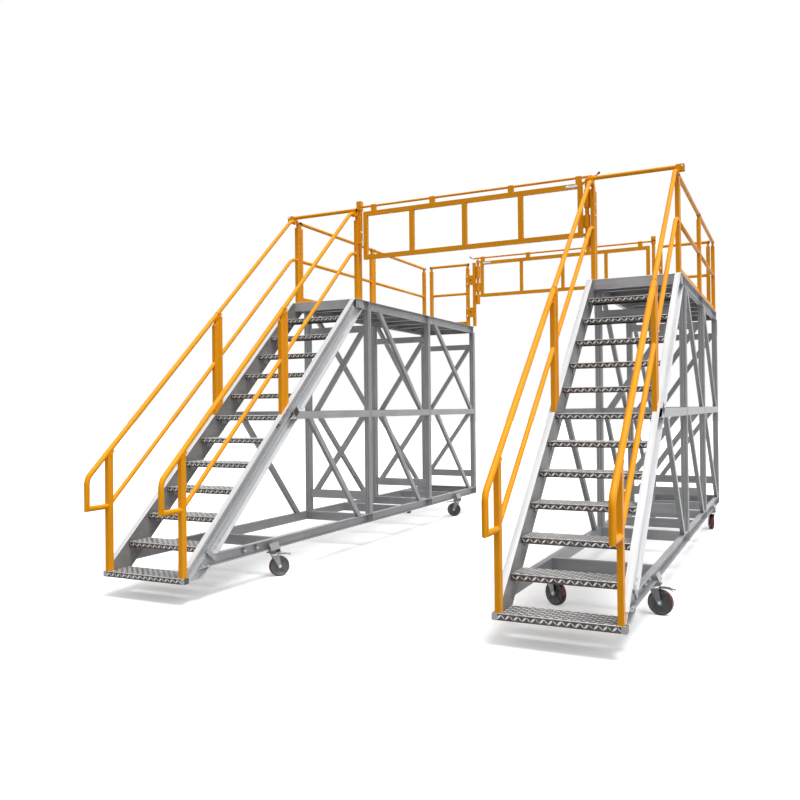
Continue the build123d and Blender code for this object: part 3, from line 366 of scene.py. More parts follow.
def piece(name, patches, material, body, smooth=35.0, lenses=False):
    """One object from many patches, riding on a body; edges sharper than the angle stay sharp."""
    points = np.concatenate([patch[0] for patch in patches])
    starts = np.cumsum([0] + [len(patch[0]) for patch in patches])
    faces = np.concatenate([patch[1] + start for patch, start in zip(patches, starts)])
    mesh = bpy.data.meshes.new(name)
    mesh.from_pydata(points.tolist(), [], faces.tolist())
    if lenses:
        # For lenses, the third array of each patch is its share of painted light (a painted
        # highlight on top, painted shade at the foot), kept as the rise attribute.
        rise = mesh.attributes.new("rise", "FLOAT", "POINT")
        rise.data.foreach_set("value", np.concatenate([patch[2] for patch in patches]))
    else:
        closed_up(mesh)
    mesh.polygons.foreach_set("use_smooth", np.ones(len(mesh.polygons), bool))
    mesh.set_sharp_from_angle(angle=math.radians(smooth))
    made = added(name, mesh)
    made.data.materials.append(material)
    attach(made, body)
    return made


def closed_up(mesh):
    """Merges doubled points at closed ends and turns every shell's faces outwards."""
    work = bmesh.new()
    work.from_mesh(mesh)
    bmesh.ops.remove_doubles(work, verts=work.verts, dist=1e-6)
    bmesh.ops.dissolve_degenerate(work, edges=work.edges, dist=1e-7)
    bmesh.ops.recalc_face_normals(work, faces=work.faces)
    work.to_mesh(mesh)
    work.free()
    mesh.update()


# Materials

def new_material(name):
    """An empty node material with its shader and its Object coordinates."""
    made = bpy.data.materials.new(name)
    made.use_nodes = True
    nodes, links = made.node_tree.nodes, made.node_tree.links
    shader = nodes["Principled BSDF"]
    place = nodes.new("ShaderNodeTexCoord")
    return made, nodes, links, shader, place.outputs["Object"]


def noise(nodes, links, place, scale, detail=3.0, stretch=(1, 1, 1)):
    """Noise over Object coordinates, stretched along one axis if wanted."""
    mapping = nodes.new("ShaderNodeMapping")
    mapping.inputs["Scale"].default_value = stretch
    links.new(place, mapping.inputs["Vector"])
    texture = nodes.new("ShaderNodeTexNoise")
    texture.inputs["Scale"].default_value = scale
    texture.inputs["Detail"].default_value = detail
    links.new(mapping.outputs["Vector"], texture.inputs["Vector"])
    return texture.outputs["Fac"]


def blend_colours(nodes, links, factor, stops):
    """A colour ramp of (position, colour) over a factor."""
    ramp = nodes.new("ShaderNodeValToRGB")
    ramp.color_ramp.elements[0].position = stops[0][0]
    ramp.color_ramp.elements[0].color = (*stops[0][1], 1)
    ramp.color_ramp.elements[1].position = stops[-1][0]
    ramp.color_ramp.elements[1].color = (*stops[-1][1], 1)
    for position, colour in stops[1:-1]:
        ramp.color_ramp.elements.new(position).color = (*colour, 1)
    links.new(factor, ramp.inputs["Fac"])
    return ramp.outputs["Color"]


def two_tone(nodes, links, grain, dark, light):
    """A colour that runs from dark to light as the grain rises."""
    return blend_colours(nodes, links, grain, [(NOISE_LOW, dark), (NOISE_HIGH, light)])


def mapped(nodes, links, value, start, end, low=0.0, high=1.0):
    """A number that runs from low to high as the value runs from start to end."""
    made = nodes.new("ShaderNodeMapRange")
    for name, number in (("From Min", start), ("From Max", end), ("To Min", low),
                         ("To Max", high)):
        made.inputs[name].default_value = number
    links.new(value, made.inputs["Value"])
    return made.outputs["Result"]


def between(nodes, links, grain, low, high):
    """A number that runs from low to high as the grain rises."""
    return mapped(nodes, links, grain, NOISE_LOW, NOISE_HIGH, low, high)


def fed(links, socket, value):
    """Joins a socket to another node's output, or gives it a plain number or colour."""
    if isinstance(value, bpy.types.NodeSocket):
        links.new(value, socket)
    else:
        socket.default_value = value


def worked(nodes, links, operation, *values):
    """The result of one step of arithmetic on outputs and numbers."""
    made = nodes.new("ShaderNodeMath")
    made.operation = operation
    for socket, value in zip(made.inputs, values):
        fed(links, socket, value)
    return made.outputs[0]


def mixed(nodes, links, kind, factor, under, over):
    """One colour (kind RGBA) or number (kind FLOAT) over another by a factor."""
    made = nodes.new("ShaderNodeMix")
    made.data_type = kind
    for name, value in (("Factor", factor), ("A", under), ("B", over)):
        fed(links, made.inputs[name], value)
    return made.outputs["Result"]


def split(nodes, links, vector):
    """The X, Y and Z of a vector, by name."""
    parts = nodes.new("ShaderNodeSeparateXYZ")
    links.new(vector, parts.inputs["Vector"])
    return parts.outputs


def facing_up(nodes, links, start, end):
    """0 on faces that stand or look down, and 1 on those that look up."""
    facing = nodes.new("ShaderNodeNewGeometry")
    return mapped(nodes, links, split(nodes, links, facing.outputs["Normal"])["Z"], start, end)


def bumped(nodes, links, shader, height, distance, strength):
    """A bump on a shader, some metres deep, that follows a height."""
    bump = nodes.new("ShaderNodeBump")
    bump.inputs["Distance"].default_value = distance
    bump.inputs["Strength"].default_value = strength
    links.new(height, bump.inputs["Height"])
    links.new(bump.outputs["Normal"], shader.inputs["Normal"])


def metal(name, dark, light, metallic, rough, stretch):
    """Bare metal with faint streaks along its rolling direction and patches of handling marks."""
    made, nodes, links, shader, place = new_material(name)
    streaks = noise(nodes, links, place, 40.0, 4.0, stretch)
    patches = noise(nodes, links, place, 3.0, 3.0)
    marks = worked(nodes, links, "MULTIPLY_ADD", streaks, 0.45,
                   worked(nodes, links, "MULTIPLY", patches, 0.55))
    links.new(two_tone(nodes, links, marks, dark, light), shader.inputs["Base Color"])
    shader.inputs["Metallic"].default_value = metallic
    links.new(between(nodes, links, marks, *rough), shader.inputs["Roughness"])
    bumped(nodes, links, shader, streaks, 0.0004, 0.25)
    return made


def powder_coat():
    """Orange-yellow powder coat with slight changes of depth and of gloss."""
    made, nodes, links, shader, place = new_material("yellow_powder_coat")
    depth = noise(nodes, links, place, 2.2, 2.0)
    links.new(two_tone(nodes, links, depth, (0.86, 0.330, 0.003), (0.93, 0.378, 0.004)),
              shader.inputs["Base Color"])
    smears = noise(nodes, links, place, 14.0, 3.0)
    links.new(between(nodes, links, smears, 0.40, 0.50), shader.inputs["Roughness"])
    shader.inputs["Specular IOR Level"].default_value = 0.18
    return made


def plain(name, colour, rough, metallic=0.0, scale=60.0, spread=0.12):
    """A single-coloured finish with small changes of shade and a fine grain."""
    made, nodes, links, shader, place = new_material(name)
    grain = noise(nodes, links, place, scale, 3.0)
    low = tuple(c * (1 - spread) for c in colour)
    high = tuple(min(1.0, c * (1 + spread)) for c in colour)
    links.new(two_tone(nodes, links, grain, low, high), shader.inputs["Base Color"])
    shader.inputs["Metallic"].default_value = metallic
    links.new(between(nodes, links, grain, rough * 0.85, rough * 1.15),
              shader.inputs["Roughness"])
    bumped(nodes, links, shader, grain, 0.0003, 0.2)
    return made


def lens_metal():
    """Raised lenses: a painted highlight on their tops and painted shade round their feet, from the
    rise attribute, with noise for wear over it.
    """
    made, nodes, links, shader, place = new_material("tread_lenses")
    rise = nodes.new("ShaderNodeAttribute")
    rise.attribute_name = "rise"
    wear = noise(nodes, links, place, 30.0, 3.0)
    level = worked(nodes, links, "MULTIPLY_ADD", wear, 0.5, rise.outputs["Fac"])
    links.new(blend_colours(nodes, links, level, [
        (0.24, (0.040, 0.037, 0.034)), (0.42, (0.14, 0.130, 0.122)), (0.62, (0.84, 0.84, 0.85))]),
        shader.inputs["Base Color"])
    shader.inputs["Metallic"].default_value = 0.20
    shader.inputs["Roughness"].default_value = 0.30
    return made


def turned_place(nodes, links, place, turn):
    """Object coordinates turned round the X axis, so that a pattern follows the stair's slope."""
    mapping = nodes.new("ShaderNodeMapping")
    mapping.inputs["Rotation"].default_value = (turn, 0, 0)
    links.new(place, mapping.inputs["Vector"])
    return mapping.outputs["Vector"]


def tread_metal():
    """Tread plate between its lenses: lighter on the faces that look up, which is painted light
    from above, and darker on the lips, which is painted shade with a brown dirt tint.
    """
    made, nodes, links, shader, place = new_material("tread_plate")
    grain = noise(nodes, links, place, 24.0, 4.0)
    top = two_tone(nodes, links, grain, (0.085, 0.080, 0.075), (0.200, 0.193, 0.185))
    lip = two_tone(nodes, links, grain, (0.040, 0.034, 0.029), (0.115, 0.102, 0.092))
    # Up faces take the lighter colour and the lips the darker one: painted light and painted shade
    # by facing.
    upward = facing_up(nodes, links, 0.4, 0.6)
    links.new(mixed(nodes, links, "RGBA", upward, lip, top), shader.inputs["Base Color"])
    shader.inputs["Metallic"].default_value = 0.15
    links.new(between(nodes, links, grain, 0.32, 0.48), shader.inputs["Roughness"])
    return made


def stringer_metal():
    """The stringers' aluminium: streaked along the slope, plain on its outer face, darker brown
    grey on its inner faces, partly dirt and partly painted shade from the treads, and lighter on
    the flanges that face up, which is painted light from above."""
    made, nodes, links, shader, place = new_material("stringer_aluminium")
    along = turned_place(nodes, links, place, -SLOPE)
    streaks = noise(nodes, links, along, 40.0, 4.0, (1, 0.03, 1))
    clean = two_tone(nodes, links, streaks, (0.50, 0.51, 0.53), (0.66, 0.67, 0.69))
    smudges = noise(nodes, links, place, 9.0, 4.0, (1, 0.5, 1))
    # Inner faces: darker brown grey, partly dirt and partly painted shade from the treads.
    dirt_and_painted_shade = two_tone(nodes, links, smudges, (0.175, 0.168, 0.160), (0.270, 0.265, 0.258))
    # Flanges that face up: lighter, painted light from above.
    painted_top_light = two_tone(nodes, links, streaks, (0.62, 0.63, 0.645), (0.76, 0.77, 0.78))
    away = worked(nodes, links, "ABSOLUTE", split(nodes, links, place)["X"])
    centred = worked(nodes, links, "SUBTRACT", away, (BUS_FACE + FAR_FACE) / 2)
    apart = worked(nodes, links, "ABSOLUTE", centred)
    half = (FAR_FACE - BUS_FACE) / 2
    outside = mapped(nodes, links, apart, half - 0.054, half - 0.050)
    sides = mixed(nodes, links, "RGBA", outside, dirt_and_painted_shade, clean)
    upward = facing_up(nodes, links, 0.35, 0.50)
    links.new(mixed(nodes, links, "RGBA", upward, sides, painted_top_light), shader.inputs["Base Color"])
    shader.inputs["Metallic"].default_value = 0.20
    links.new(between(nodes, links, streaks, 0.32, 0.46), shader.inputs["Roughness"])
    bumped(nodes, links, shader, streaks, 0.0004, 0.25)
    return made


MILL_LEVEL = metal("mill_aluminium_level", (0.33, 0.335, 0.35), (0.49, 0.495, 0.51), 0.20,
                   (0.34, 0.50), (0.04, 0.04, 1))
MILL_UPRIGHT = metal("mill_aluminium_upright", (0.31, 0.318, 0.325), (0.46, 0.468, 0.475), 0.20,
                     (0.34, 0.50), (1, 1, 0.03))
STRINGER = stringer_metal()
TREAD = tread_metal()
# Bright rods on the treads' and the deck's front edges: a painted highlight.
PAINTED_HIGHLIGHT = metal("painted_highlight_edge", (0.66, 0.66, 0.67), (0.84, 0.84, 0.85), 0.20,
               (0.24, 0.34), (0.03, 1, 1))
# Tread lenses: painted highlight on their tops and painted shade round their feet.
LENS = lens_metal()
YELLOW = powder_coat()
ZINC = metal("zinc_plate", (0.20, 0.212, 0.22), (0.36, 0.375, 0.39), 0.55,
             (0.24, 0.40), (1, 1, 1))
BOLT = plain("bright_zinc_bolt", (0.66, 0.68, 0.72), 0.28, 0.85)
CAP = plain("black_plastic_cap", (0.012, 0.012, 0.013), 0.45)
# Dark discs, rings and slabs for holes and cut-outs: painted shade inside them.
PAINTED_INSIDE_SHADE = plain("painted_shade_inside", (0.050, 0.047, 0.044), 0.8)
TYRE = plain("red_polyurethane", (0.110, 0.006, 0.006), 0.30, 0.0, 90.0, 0.18)
CORE = plain("cast_grey_core", (0.125, 0.135, 0.133), 0.40, 0.15, 120.0)
SEAM = plain("dark_joint_ring", (0.035, 0.022, 0.010), 0.5)
# Dark strips in the stringers' corners and the columns' grooves: painted shade.
PAINTED_GROOVE_SHADE = plain("painted_shade_in_grooves", (0.150, 0.148, 0.145), 0.7)

NODE_FINISHES = {
    "base_rails": MILL_LEVEL, "base_crossmembers": MILL_LEVEL, "caster_mounts": ZINC,
    "columns": MILL_UPRIGHT, "mid_rails": MILL_LEVEL, "cross_rails": MILL_LEVEL,
    "braces": MILL_UPRIGHT,
    "deck_frame": MILL_LEVEL, "deck_plate": TREAD, "stringers": STRINGER, "treads": TREAD,
    "stair_posts": YELLOW, "stair_top_rails": YELLOW, "stair_mid_rails": YELLOW,
    "guard_posts": YELLOW, "guard_rails": YELLOW, "toe_boards": YELLOW, "gate_posts": YELLOW,
    "bar_brackets": YELLOW, "head_bar": YELLOW, "front_gate": YELLOW, "rear_gate": YELLOW,
    "front_latch_rod": YELLOW, "rear_latch_rod": YELLOW, "caster_fork": ZINC,
}


def finish_nodes():
    """Gives every CAD node its finish, found by the end of its name. Where two endings fit, as with
    mid_rails and stair_mid_rails, the one further down the table wins."""
    for name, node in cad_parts.items():
        for ending, material in NODE_FINISHES.items():
            if name.endswith(ending):
                node.data.materials.clear()
                node.data.materials.append(material)


# Tread plate

def tower_pieces(tower, *rows):
    """A tower's pieces that don't move, from rows of name, patches, material and slot. The slot is
    not used.
    """
    for name, patches, material, slot in rows:
        piece(f"{tower}_{name}", patches, material, "towers")


def x_span(tower, inset):
    """The X limits of a tower, drawn in from its faces by an inset, lower first."""
    return tuple(sorted(SIDES[tower] * x for x in (BUS_FACE + inset, FAR_FACE - inset)))


def tread_edge(xs, y, z, radius):
    """A bright rod along X: a painted highlight on an edge."""
    return tube((xs[0], y, z), (xs[1], y, z), radius, 10, 0.0005)


def tread_lenses(tower):
    """Raised lenses on the treads' tops and front lips and on the deck plate."""
    between_stringers, full = x_span(tower, STRINGER_W + 0.004), x_span(tower, 0.004)
    patches, edges = [], []
    for step in range(STEPS):
        top = BOTTOM_TREAD + step * RISE
        front = FOOT_Y + step * GOING
        # Lens fields on each tread's top and lip. Each point carries its share of painted light: a
        # painted highlight and painted shade.
        patches.append(lens_field(between_stringers, (front + 0.006, front + TREAD_DEPTH - 0.004),
                                  top))
        xs = between_stringers if step else full
        points, faces, painted_light = lens_field(xs, (-TREAD_LIP + 0.004, -0.006), 0.0, LIP_LENS, 0.62,
                                         0.55)
        lip = np.stack([points[:, 0], front - points[:, 2], top + points[:, 1]], 1)
        patches.append((lip, faces, painted_light))
        # A bright rod on each tread's front edge, and one on the deck's below: a painted highlight.
        edges.append(tread_edge(xs, front + 0.0022, top - 0.0022, 0.0034))
    edges.append(tread_edge(full, DECK_FRONT + 0.0020, DECK_TOP - 0.0028, 0.0042))
    piece(f"{tower}_tread_lenses", patches, LENS, "towers", 60.0, True)
    piece(f"{tower}_tread_edges", edges, PAINTED_HIGHLIGHT, "towers", 60.0)
    deck = lens_field(x_span(tower, CHANNEL_W + 0.02),
                      (DECK_FRONT + CHANNEL_W + 0.01, DECK_REAR - CHANNEL_W - 0.03), DECK_TOP)
    piece(f"{tower}_deck_lenses", [deck], LENS, "towers", 60.0, True)


# Handrails

def nose_z(y):
    """Height of the line through the treads' front edges."""
    return DECK_TOP + (y - DECK_FRONT) * PITCH


def post_x(tower, side):
    """X of the posts' and rails' centre line on one side of a tower."""
    return face_x(tower, side, POST_IN)


def face_x(tower, side, depth):
    """X of a place that deep behind a tower's bus-side or far-side face."""
    return SIDES[tower] * (BUS_FACE + depth if side == "bus" else FAR_FACE - depth)


def outward(tower, side):
    """Direction out of that face, along X."""
    return -SIDES[tower] if side == "bus" else SIDES[tower]


def stair_rails(tower):
    """The stairs' top rails with their foot loops, and their middle rails, bent in one piece."""
    tops, mids = [], []
    front, low = FOOT_POST_Y - LOOP_REACH, BOTTOM_TREAD + LOOP_LOW_UP
    joint_z = nose_z(STAIR_POST_Y) + STAIR_RAIL_UP
    knee = DECK_FRONT + (GUARD_RAIL - DECK_TOP - STAIR_RAIL_UP) / PITCH
    mid_level = DECK_TOP + MID_UP
    mid_knee = DECK_FRONT + (mid_level - DECK_TOP - STAIR_MID_UP) / PITCH
    for side in FACES:
        x = post_x(tower, side)
        loop = filleted([(x, FOOT_POST_Y - 0.02, low), (x, front, low),
                         (x, front, nose_z(front) + STAIR_RAIL_UP), (x, STAIR_POST_Y, joint_z)],
                        (0, LOOP_BEND), BEND_STEPS)
        head = filleted([(x, STAIR_POST_Y, joint_z), (x, knee, GUARD_RAIL),
                         (x, CORNER_Y - 0.016, GUARD_RAIL)], (TOP_BEND,), BEND_STEPS)
        tops += [swept(loop, LOOP_R), swept(head, RAIL_R)]
        lower = [(x, y, nose_z(y) + STAIR_MID_UP)
                 for y in (FOOT_POST_Y + 0.020, STAIR_POST_Y - 0.040)]
        start = STAIR_POST_Y + 0.040
        upper = filleted([(x, start, nose_z(start) + STAIR_MID_UP), (x, mid_knee, mid_level),
                          (x, CORNER_Y - POST_Y / 2 + 0.010, mid_level)], (MID_BEND,), BEND_STEPS)
        mids += [swept(lower, MID_SHOWN), swept(upper, MID_SHOWN)]
    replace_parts(piece(f"{tower}_bent_top_rails", tops, YELLOW, "towers", 50.0),
                f"{tower}_stair_top_rails")
    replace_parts(piece(f"{tower}_bent_mid_rails", mids, YELLOW, "towers", 50.0),
                f"{tower}_stair_mid_rails")


def guard_mid_rails(tower):
    """Middle rails between the guard posts, as full as the top rails, over the slimmer ones."""
    z = DECK_TOP + MID_UP
    far_x = post_x(tower, "far")
    half = POST_Y / 2 - TUCK
    spans = [((far_x, CORNER_Y + half, z), (far_x, SIDE_POST_Y - half, z)),
             ((far_x, SIDE_POST_Y + half, z), (far_x, DECK_REAR - REAR_POST + TUCK, z))]
    near, wide = (face_x(tower, "bus", depth) for depth in PANEL_DEPTHS[tower])
    way = SIDES[tower] * (REAR_POST / 2 - TUCK)
    spans.append(((near + way, REAR_LINE, z), (wide - way, REAR_LINE, z)))
    rails = [tube(start, end, MID_SHOWN, 22) for start, end in spans]
    piece(f"{tower}_full_mid_rails", rails, YELLOW, "towers", 50.0)


def post_collars(tower):
    """Sloping clips that hold the stair rails on the foot and middle posts."""
    collars = []
    for side in FACES:
        for y, length in ((FOOT_POST_Y, 0.070), (STAIR_POST_Y, 0.096)):
            at = np.array([post_x(tower, side), y, nose_z(y) + STAIR_RAIL_UP])
            collars.append(slab(rounded(length, 0.046, 0.004, 2),
                                at - SQUARE * (LOOP_R + 0.004), SQUARE, ALONG, 0.016))
    tower_pieces(tower, ("post_collars", collars, YELLOW, "yellow"))


def rail_caps(tower):
    """Black plugs in the rails' open ends and dark rings where the stair rail changes size."""
    far_x = post_x(tower, "far")
    plug = [(RAIL_R - 0.0005, -0.020), (RAIL_R + 0.0014, -0.0195), (RAIL_R + 0.0014, -0.002),
            (RAIL_R - 0.001, 0.0002), (0, 0.0002), (RAIL_R - 0.0005, -0.020)]
    clip = [(RAIL_R, -0.007), (RAIL_R + 0.004, -0.006), (RAIL_R + 0.004, 0.006), (RAIL_R, 0.007),
            (RAIL_R, -0.007)]
    band = [(RAIL_R - 0.001, -0.001), (LOOP_R + 0.0010, -0.001), (LOOP_R + 0.0014, 0.002),
            (LOOP_R - 0.001, 0.007), (RAIL_R - 0.001, 0.008), (RAIL_R - 0.001, -0.001)]
    caps = [turned(plug, (far_x, y, GUARD_RAIL), (0, way, 0))
            for y, way in ((CORNER_Y + 0.027, -1), (DECK_REAR + 0.016, 1))]
    for depth, way in zip(PANEL_DEPTHS[tower], (-1, 1)):
        x = face_x(tower, "bus", depth + way * REAR_POST / 2)
        caps.append(turned(plug, (x, REAR_LINE, GUARD_RAIL), (SIDES[tower] * way, 0, 0)))
    for y in (SIDE_POST_Y - 0.045, SIDE_POST_Y + 0.045):
        caps.append(turned(clip, (far_x, y, GUARD_RAIL), (0, 1, 0)))
    joint_z = nose_z(STAIR_POST_Y) + STAIR_RAIL_UP
    rings = [turned(band, np.array([post_x(tower, side), STAIR_POST_Y, joint_z]) - ALONG * 0.003,
                    ALONG, 32) for side in FACES]
    tower_pieces(tower, ("rail_caps", caps, CAP, None), ("rail_joint_rings", rings, SEAM, None))


# Bolts and small fittings

def hole(at, direction, radius):
    """A dark shallow disc that reads as a drilled hole: painted shade inside it."""
    return turned([(0, -0.0005), (radius, -0.0005), (radius, 0.0004), (0, 0.0004)], at,
                  direction, 20)


def post_bolts(tower):
    """Drilled holes in the posts' grooves on both wide faces, and the gate posts' bolts."""
    bolts, holes = [], []
    for y, side in ((CORNER_Y, "bus"), (CORNER_Y, "far"), (SIDE_POST_Y, "far")):
        for up in UPPER_HOLES + LOWER_HOLES:
            for face in (-1, 1):
                x = post_x(tower, side) + face * POST_X / 2
                at = (x - face * 0.0004, y - 0.040, DECK_TOP + up)
                holes.append(hole(at, (face, 0, 0), 0.0060))
    if tower == "left":
        heads = ((-BUS_FACE + 0.0248, 1), (-BUS_FACE - 0.020, -1))
    else:
        heads = ((BUS_FACE + 0.0602, 1),)
    for up in UPPER_HOLES:
        for x, way in heads:
            bolts += bolt((x, FRONT_AXIS[1], DECK_TOP + up), (way, 0, 0), 0.011)
    tower_pieces(tower, ("post_bolts", bolts, BOLT, "zinc"), ("post_holes", holes, PAINTED_INSIDE_SHADE, None))


def holder_fittings(tower):
    """Bolts and the round holes of the plates that hold the rear gate post to its panel."""
    x = face_x(tower, "bus", PANEL_DEPTHS[tower][0])
    gate_x = face_x(tower, "bus", 0.072 if tower == "right" else -0.017)
    front = REAR_LINE - REAR_POST / 2 - 0.008
    bolts = []
    for up in HOLDER_BOLTS:
        bolts += bolt((x, front + 0.0002, DECK_TOP + up), (0, -1, 0), 0.010)
        bolts += bolt((x, REAR_LINE + REAR_POST / 2 - 0.0002, DECK_TOP + up), (0, 1, 0), 0.010)
    holes = [hole(((x + gate_x) / 2, front, DECK_TOP + up), (0, -1, 0), 0.0135)
             for up in HOLDER_HOLES]
    tower_pieces(tower, ("holder_bolts", bolts, BOLT, "zinc"),
                 ("holder_holes", holes, PAINTED_INSIDE_SHADE, None))


def deck_edge_fittings(tower):
    """Stiffeners, clips and bolts in the deck's edge channels at the columns and front corner."""
    plates, bolts, rims, plugs = [], [], [], []
    length = DECK_REAR - DECK_FRONT
    rim = [(0.013, 0), (0.017, 0), (0.017, 0.0008), (0.013, 0.0008), (0.013, 0)]
    plug = [(0, 0), (0.013, 0), (0.012, 0.0006), (0, 0.0006)]
    for side in FACES:
        way = outward(tower, side)
        normal = (way, 0, 0)
        for front in (0.2920, length * SIDE_POST_SHARE, length - 0.086):
            y = DECK_FRONT + front + 0.026
            middle = (face_x(tower, side, 0.0245), y, DECK_TOP - 0.050)
            plates.append(slab(rounded(0.041, 0.088, 0.002, 1), middle, (0, 1, 0), (1, 0, 0),
                               0.006))
            for shift in (-0.070, 0.155):
                if y + shift > DECK_REAR - 0.05:
                    continue
                at = (face_x(tower, side, 0.0445), y + shift, DECK_TOP - 0.062)
                plates.append(slab(rounded(0.090, 0.070, 0.004, 2), at, normal, (0, 1, 0),
                                   0.005))
                bolts += bolt((face_x(tower, side, 0.042), at[1], at[2]), normal, 0.011)
            strip = (face_x(tower, side, -0.003), DECK_FRONT + front + COLUMN_W / 2,
                     DECK_LOW - 0.112)
            plates.append(slab(rounded(0.036, 0.215, 0.002, 1), strip, normal, (0, 1, 0), 0.006))
        corner = (face_x(tower, side, 0.012), DECK_FRONT + 0.103, DECK_TOP - 0.052)
        plates.append(slab(rounded(0.168, 0.084, 0.003, 2), corner, normal, (0, 1, 0), 0.006))
        at = (corner[0] + way * 0.003, DECK_FRONT + 0.066, DECK_TOP - 0.075)
        # A dark ring round the plug: painted shade in the hole round it.
        rims.append(turned(rim, at, normal, 24))
        plugs.append(turned(plug, at, normal, 20))
    tower_pieces(tower, ("deck_edge_clips", plates, MILL_UPRIGHT, "mill"),
                 ("deck_edge_bolts", bolts, BOLT, "zinc"), ("deck_edge_rims", rims, PAINTED_INSIDE_SHADE, None),
                 ("deck_edge_plugs", plugs, YELLOW, "yellow"))


def on_slope(tower, side, behind, y, depth):
    """A place on a stringer: how far behind its front edge, its Y along the nose line, and how
    deep behind the tower's face."""
    return (np.array([face_x(tower, side, depth), y, nose_z(y)]) -
            SQUARE * (behind - STRINGER_PROUD))


def stringer_fittings(tower):
    """Splice plates, square cut-outs with rims and bolts at the middle rails, and foot bolts."""
    plates, bolts, darks = [], [], []
    web = STRINGER_W - 0.006
    for side in FACES:
        way = outward(tower, side)
        normal = (way, 0, 0)
        out = np.array([way, 0, 0])
        place = on_slope(tower, side, *SPLICE_AT, web - 0.006)
        plates.append(slab(rounded(0.225, 0.070, 0.004, 2), place, normal, ALONG, 0.012))
        for shift in SPLICE_BOLTS:
            bolts += bolt(place + ALONG * shift + out * 0.006, normal, 0.010)
        # Dark slabs for the cut-out here and for the brace hole below: painted shade in the
        # openings.
        darks.append(slab(rounded(0.050, 0.050, 0.002, 1),
                          place - ALONG * CUT_OUT_BACK - out * 0.003, normal, ALONG, 0.005))
        place = np.array([face_x(tower, side, 0.0), *BRACE_HOLE_AT])
        darks.append(slab(rounded(0.078, 0.078, 0.003, 2), place, normal, ALONG, 0.003))
        plates.append(slab(rounded(0.090, 0.090, 0.004, 2), place - out * 0.001, normal, ALONG,
                           0.003))
        for y, z in BRACE_BOLTS:
            bolts += bolt((face_x(tower, side, 0.0), y, z), normal, 0.009)
        for behind, y in STRINGER_FOOT_BOLTS:
            bolts += bolt(on_slope(tower, side, behind, y, web), normal, 0.008)
    tower_pieces(tower, ("stringer_plates", plates, MILL_UPRIGHT, "mill"),
                 ("stringer_bolts", bolts, BOLT, "zinc"),
                 ("stringer_cut_outs", darks, PAINTED_INSIDE_SHADE, None))


def stringer_seams(tower):
    """Fine dark lines along the slope where the stringer's ridge and flanges are rolled: painted
    shade in their corners.
    """
    seams = []
    for side in FACES:
        for behind, depth, start, end in SEAMS:
            a, b = (on_slope(tower, side, behind, y, depth) for y in (start, end))
            seams.append(slab(rounded(np.linalg.norm(b - a), 0.0030, 0.0006, 1), (a + b) / 2,
                              (outward(tower, side), 0, 0), ALONG, 0.0012, 0.0002))
    tower_pieces(tower, ("stringer_seams", seams, PAINTED_GROOVE_SHADE, "mill"))


def column_grooves(tower):
    """Dark strips down the columns' outer and front faces, as in slotted section: painted shade in
    the grooves.
    """
    grooves = []
    first, last = (corner.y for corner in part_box(f"{tower}_columns"))
    height = DECK_LOW - RAIL_TOP - 0.010
    z = (DECK_LOW + RAIL_TOP) / 2
    for side in FACES:
        for y in (first, SIDE_POST_Y - 0.005, last - COLUMN_W):
            for share in (0.30, 0.70):
                for x, at_y, width, normal in (
                        (face_x(tower, side, 0.0), y + COLUMN_W * share, 0.0045,
                         (outward(tower, side), 0, 0)),
                        (face_x(tower, side, COLUMN_D * share), y, 0.0040, (0, -1, 0))):
                    grooves.append(slab(rounded(height, width, 0.0008, 1), (x, at_y, z), normal,
                                        (0, 0, 1), 0.0010, 0.0002))
    tower_pieces(tower, ("column_grooves", grooves, PAINTED_GROOVE_SHADE, "mill"))


def foot_clips(tower):
    """Folded clips with a pair of bolts above and below, where the base rail meets the stringer."""
    plates, bolts = [], []
    tilt = np.array([0, math.sin(FOOT_CLIP_TILT), -math.cos(FOOT_CLIP_TILT)])
    for side in FACES:
        normal = (outward(tower, side), 0, 0)
        out = np.array(normal)
        base = np.array([face_x(tower, side, 0.014), *FOOT_CLIP_AT]) + out * 0.006
        plates += [slab(rounded(0.145, 0.042, 0.004, 2), base, normal, tilt, 0.008),
                   slab(rounded(0.145, 0.018, 0.003, 2), base - ALONG * 0.020 - out * 0.004,
                        ALONG, tilt, 0.005)]
        for y, z in FOOT_CLIP_BOLTS:
            bolts += bolt((face_x(tower, side, 0.0125), y, z), normal, 0.009)
    tower_pieces(tower, ("foot_clips", plates, MILL_LEVEL, "mill"),
                 ("foot_clip_bolts", bolts, BOLT, "zinc"))


def tread_ends(tower):
    """End caps on the bottom tread's front bar, and the angle cleats under the other treads."""
    plates = []
    for side in FACES:
        at = (face_x(tower, side, 0.018), FOOT_Y - 0.0015, BOTTOM_TREAD - 0.0245)
        plates.append(slab(rounded(0.040, 0.050, 0.003, 2), at, (0, -1, 0), (1, 0, 0), 0.004))
        for step in range(1, STEPS):
            at = (face_x(tower, side, STRINGER_W + 0.0035), FOOT_Y + step * GOING + 0.130,
                  BOTTOM_TREAD + step * RISE - 0.052)
            plates.append(slab(rounded(0.085, 0.066, 0.004, 2), at,
                               (-outward(tower, side), 0, 0), (0, 1, 0), 0.005))
    tower_pieces(tower, ("tread_ends", plates, MILL_LEVEL, "mill"))


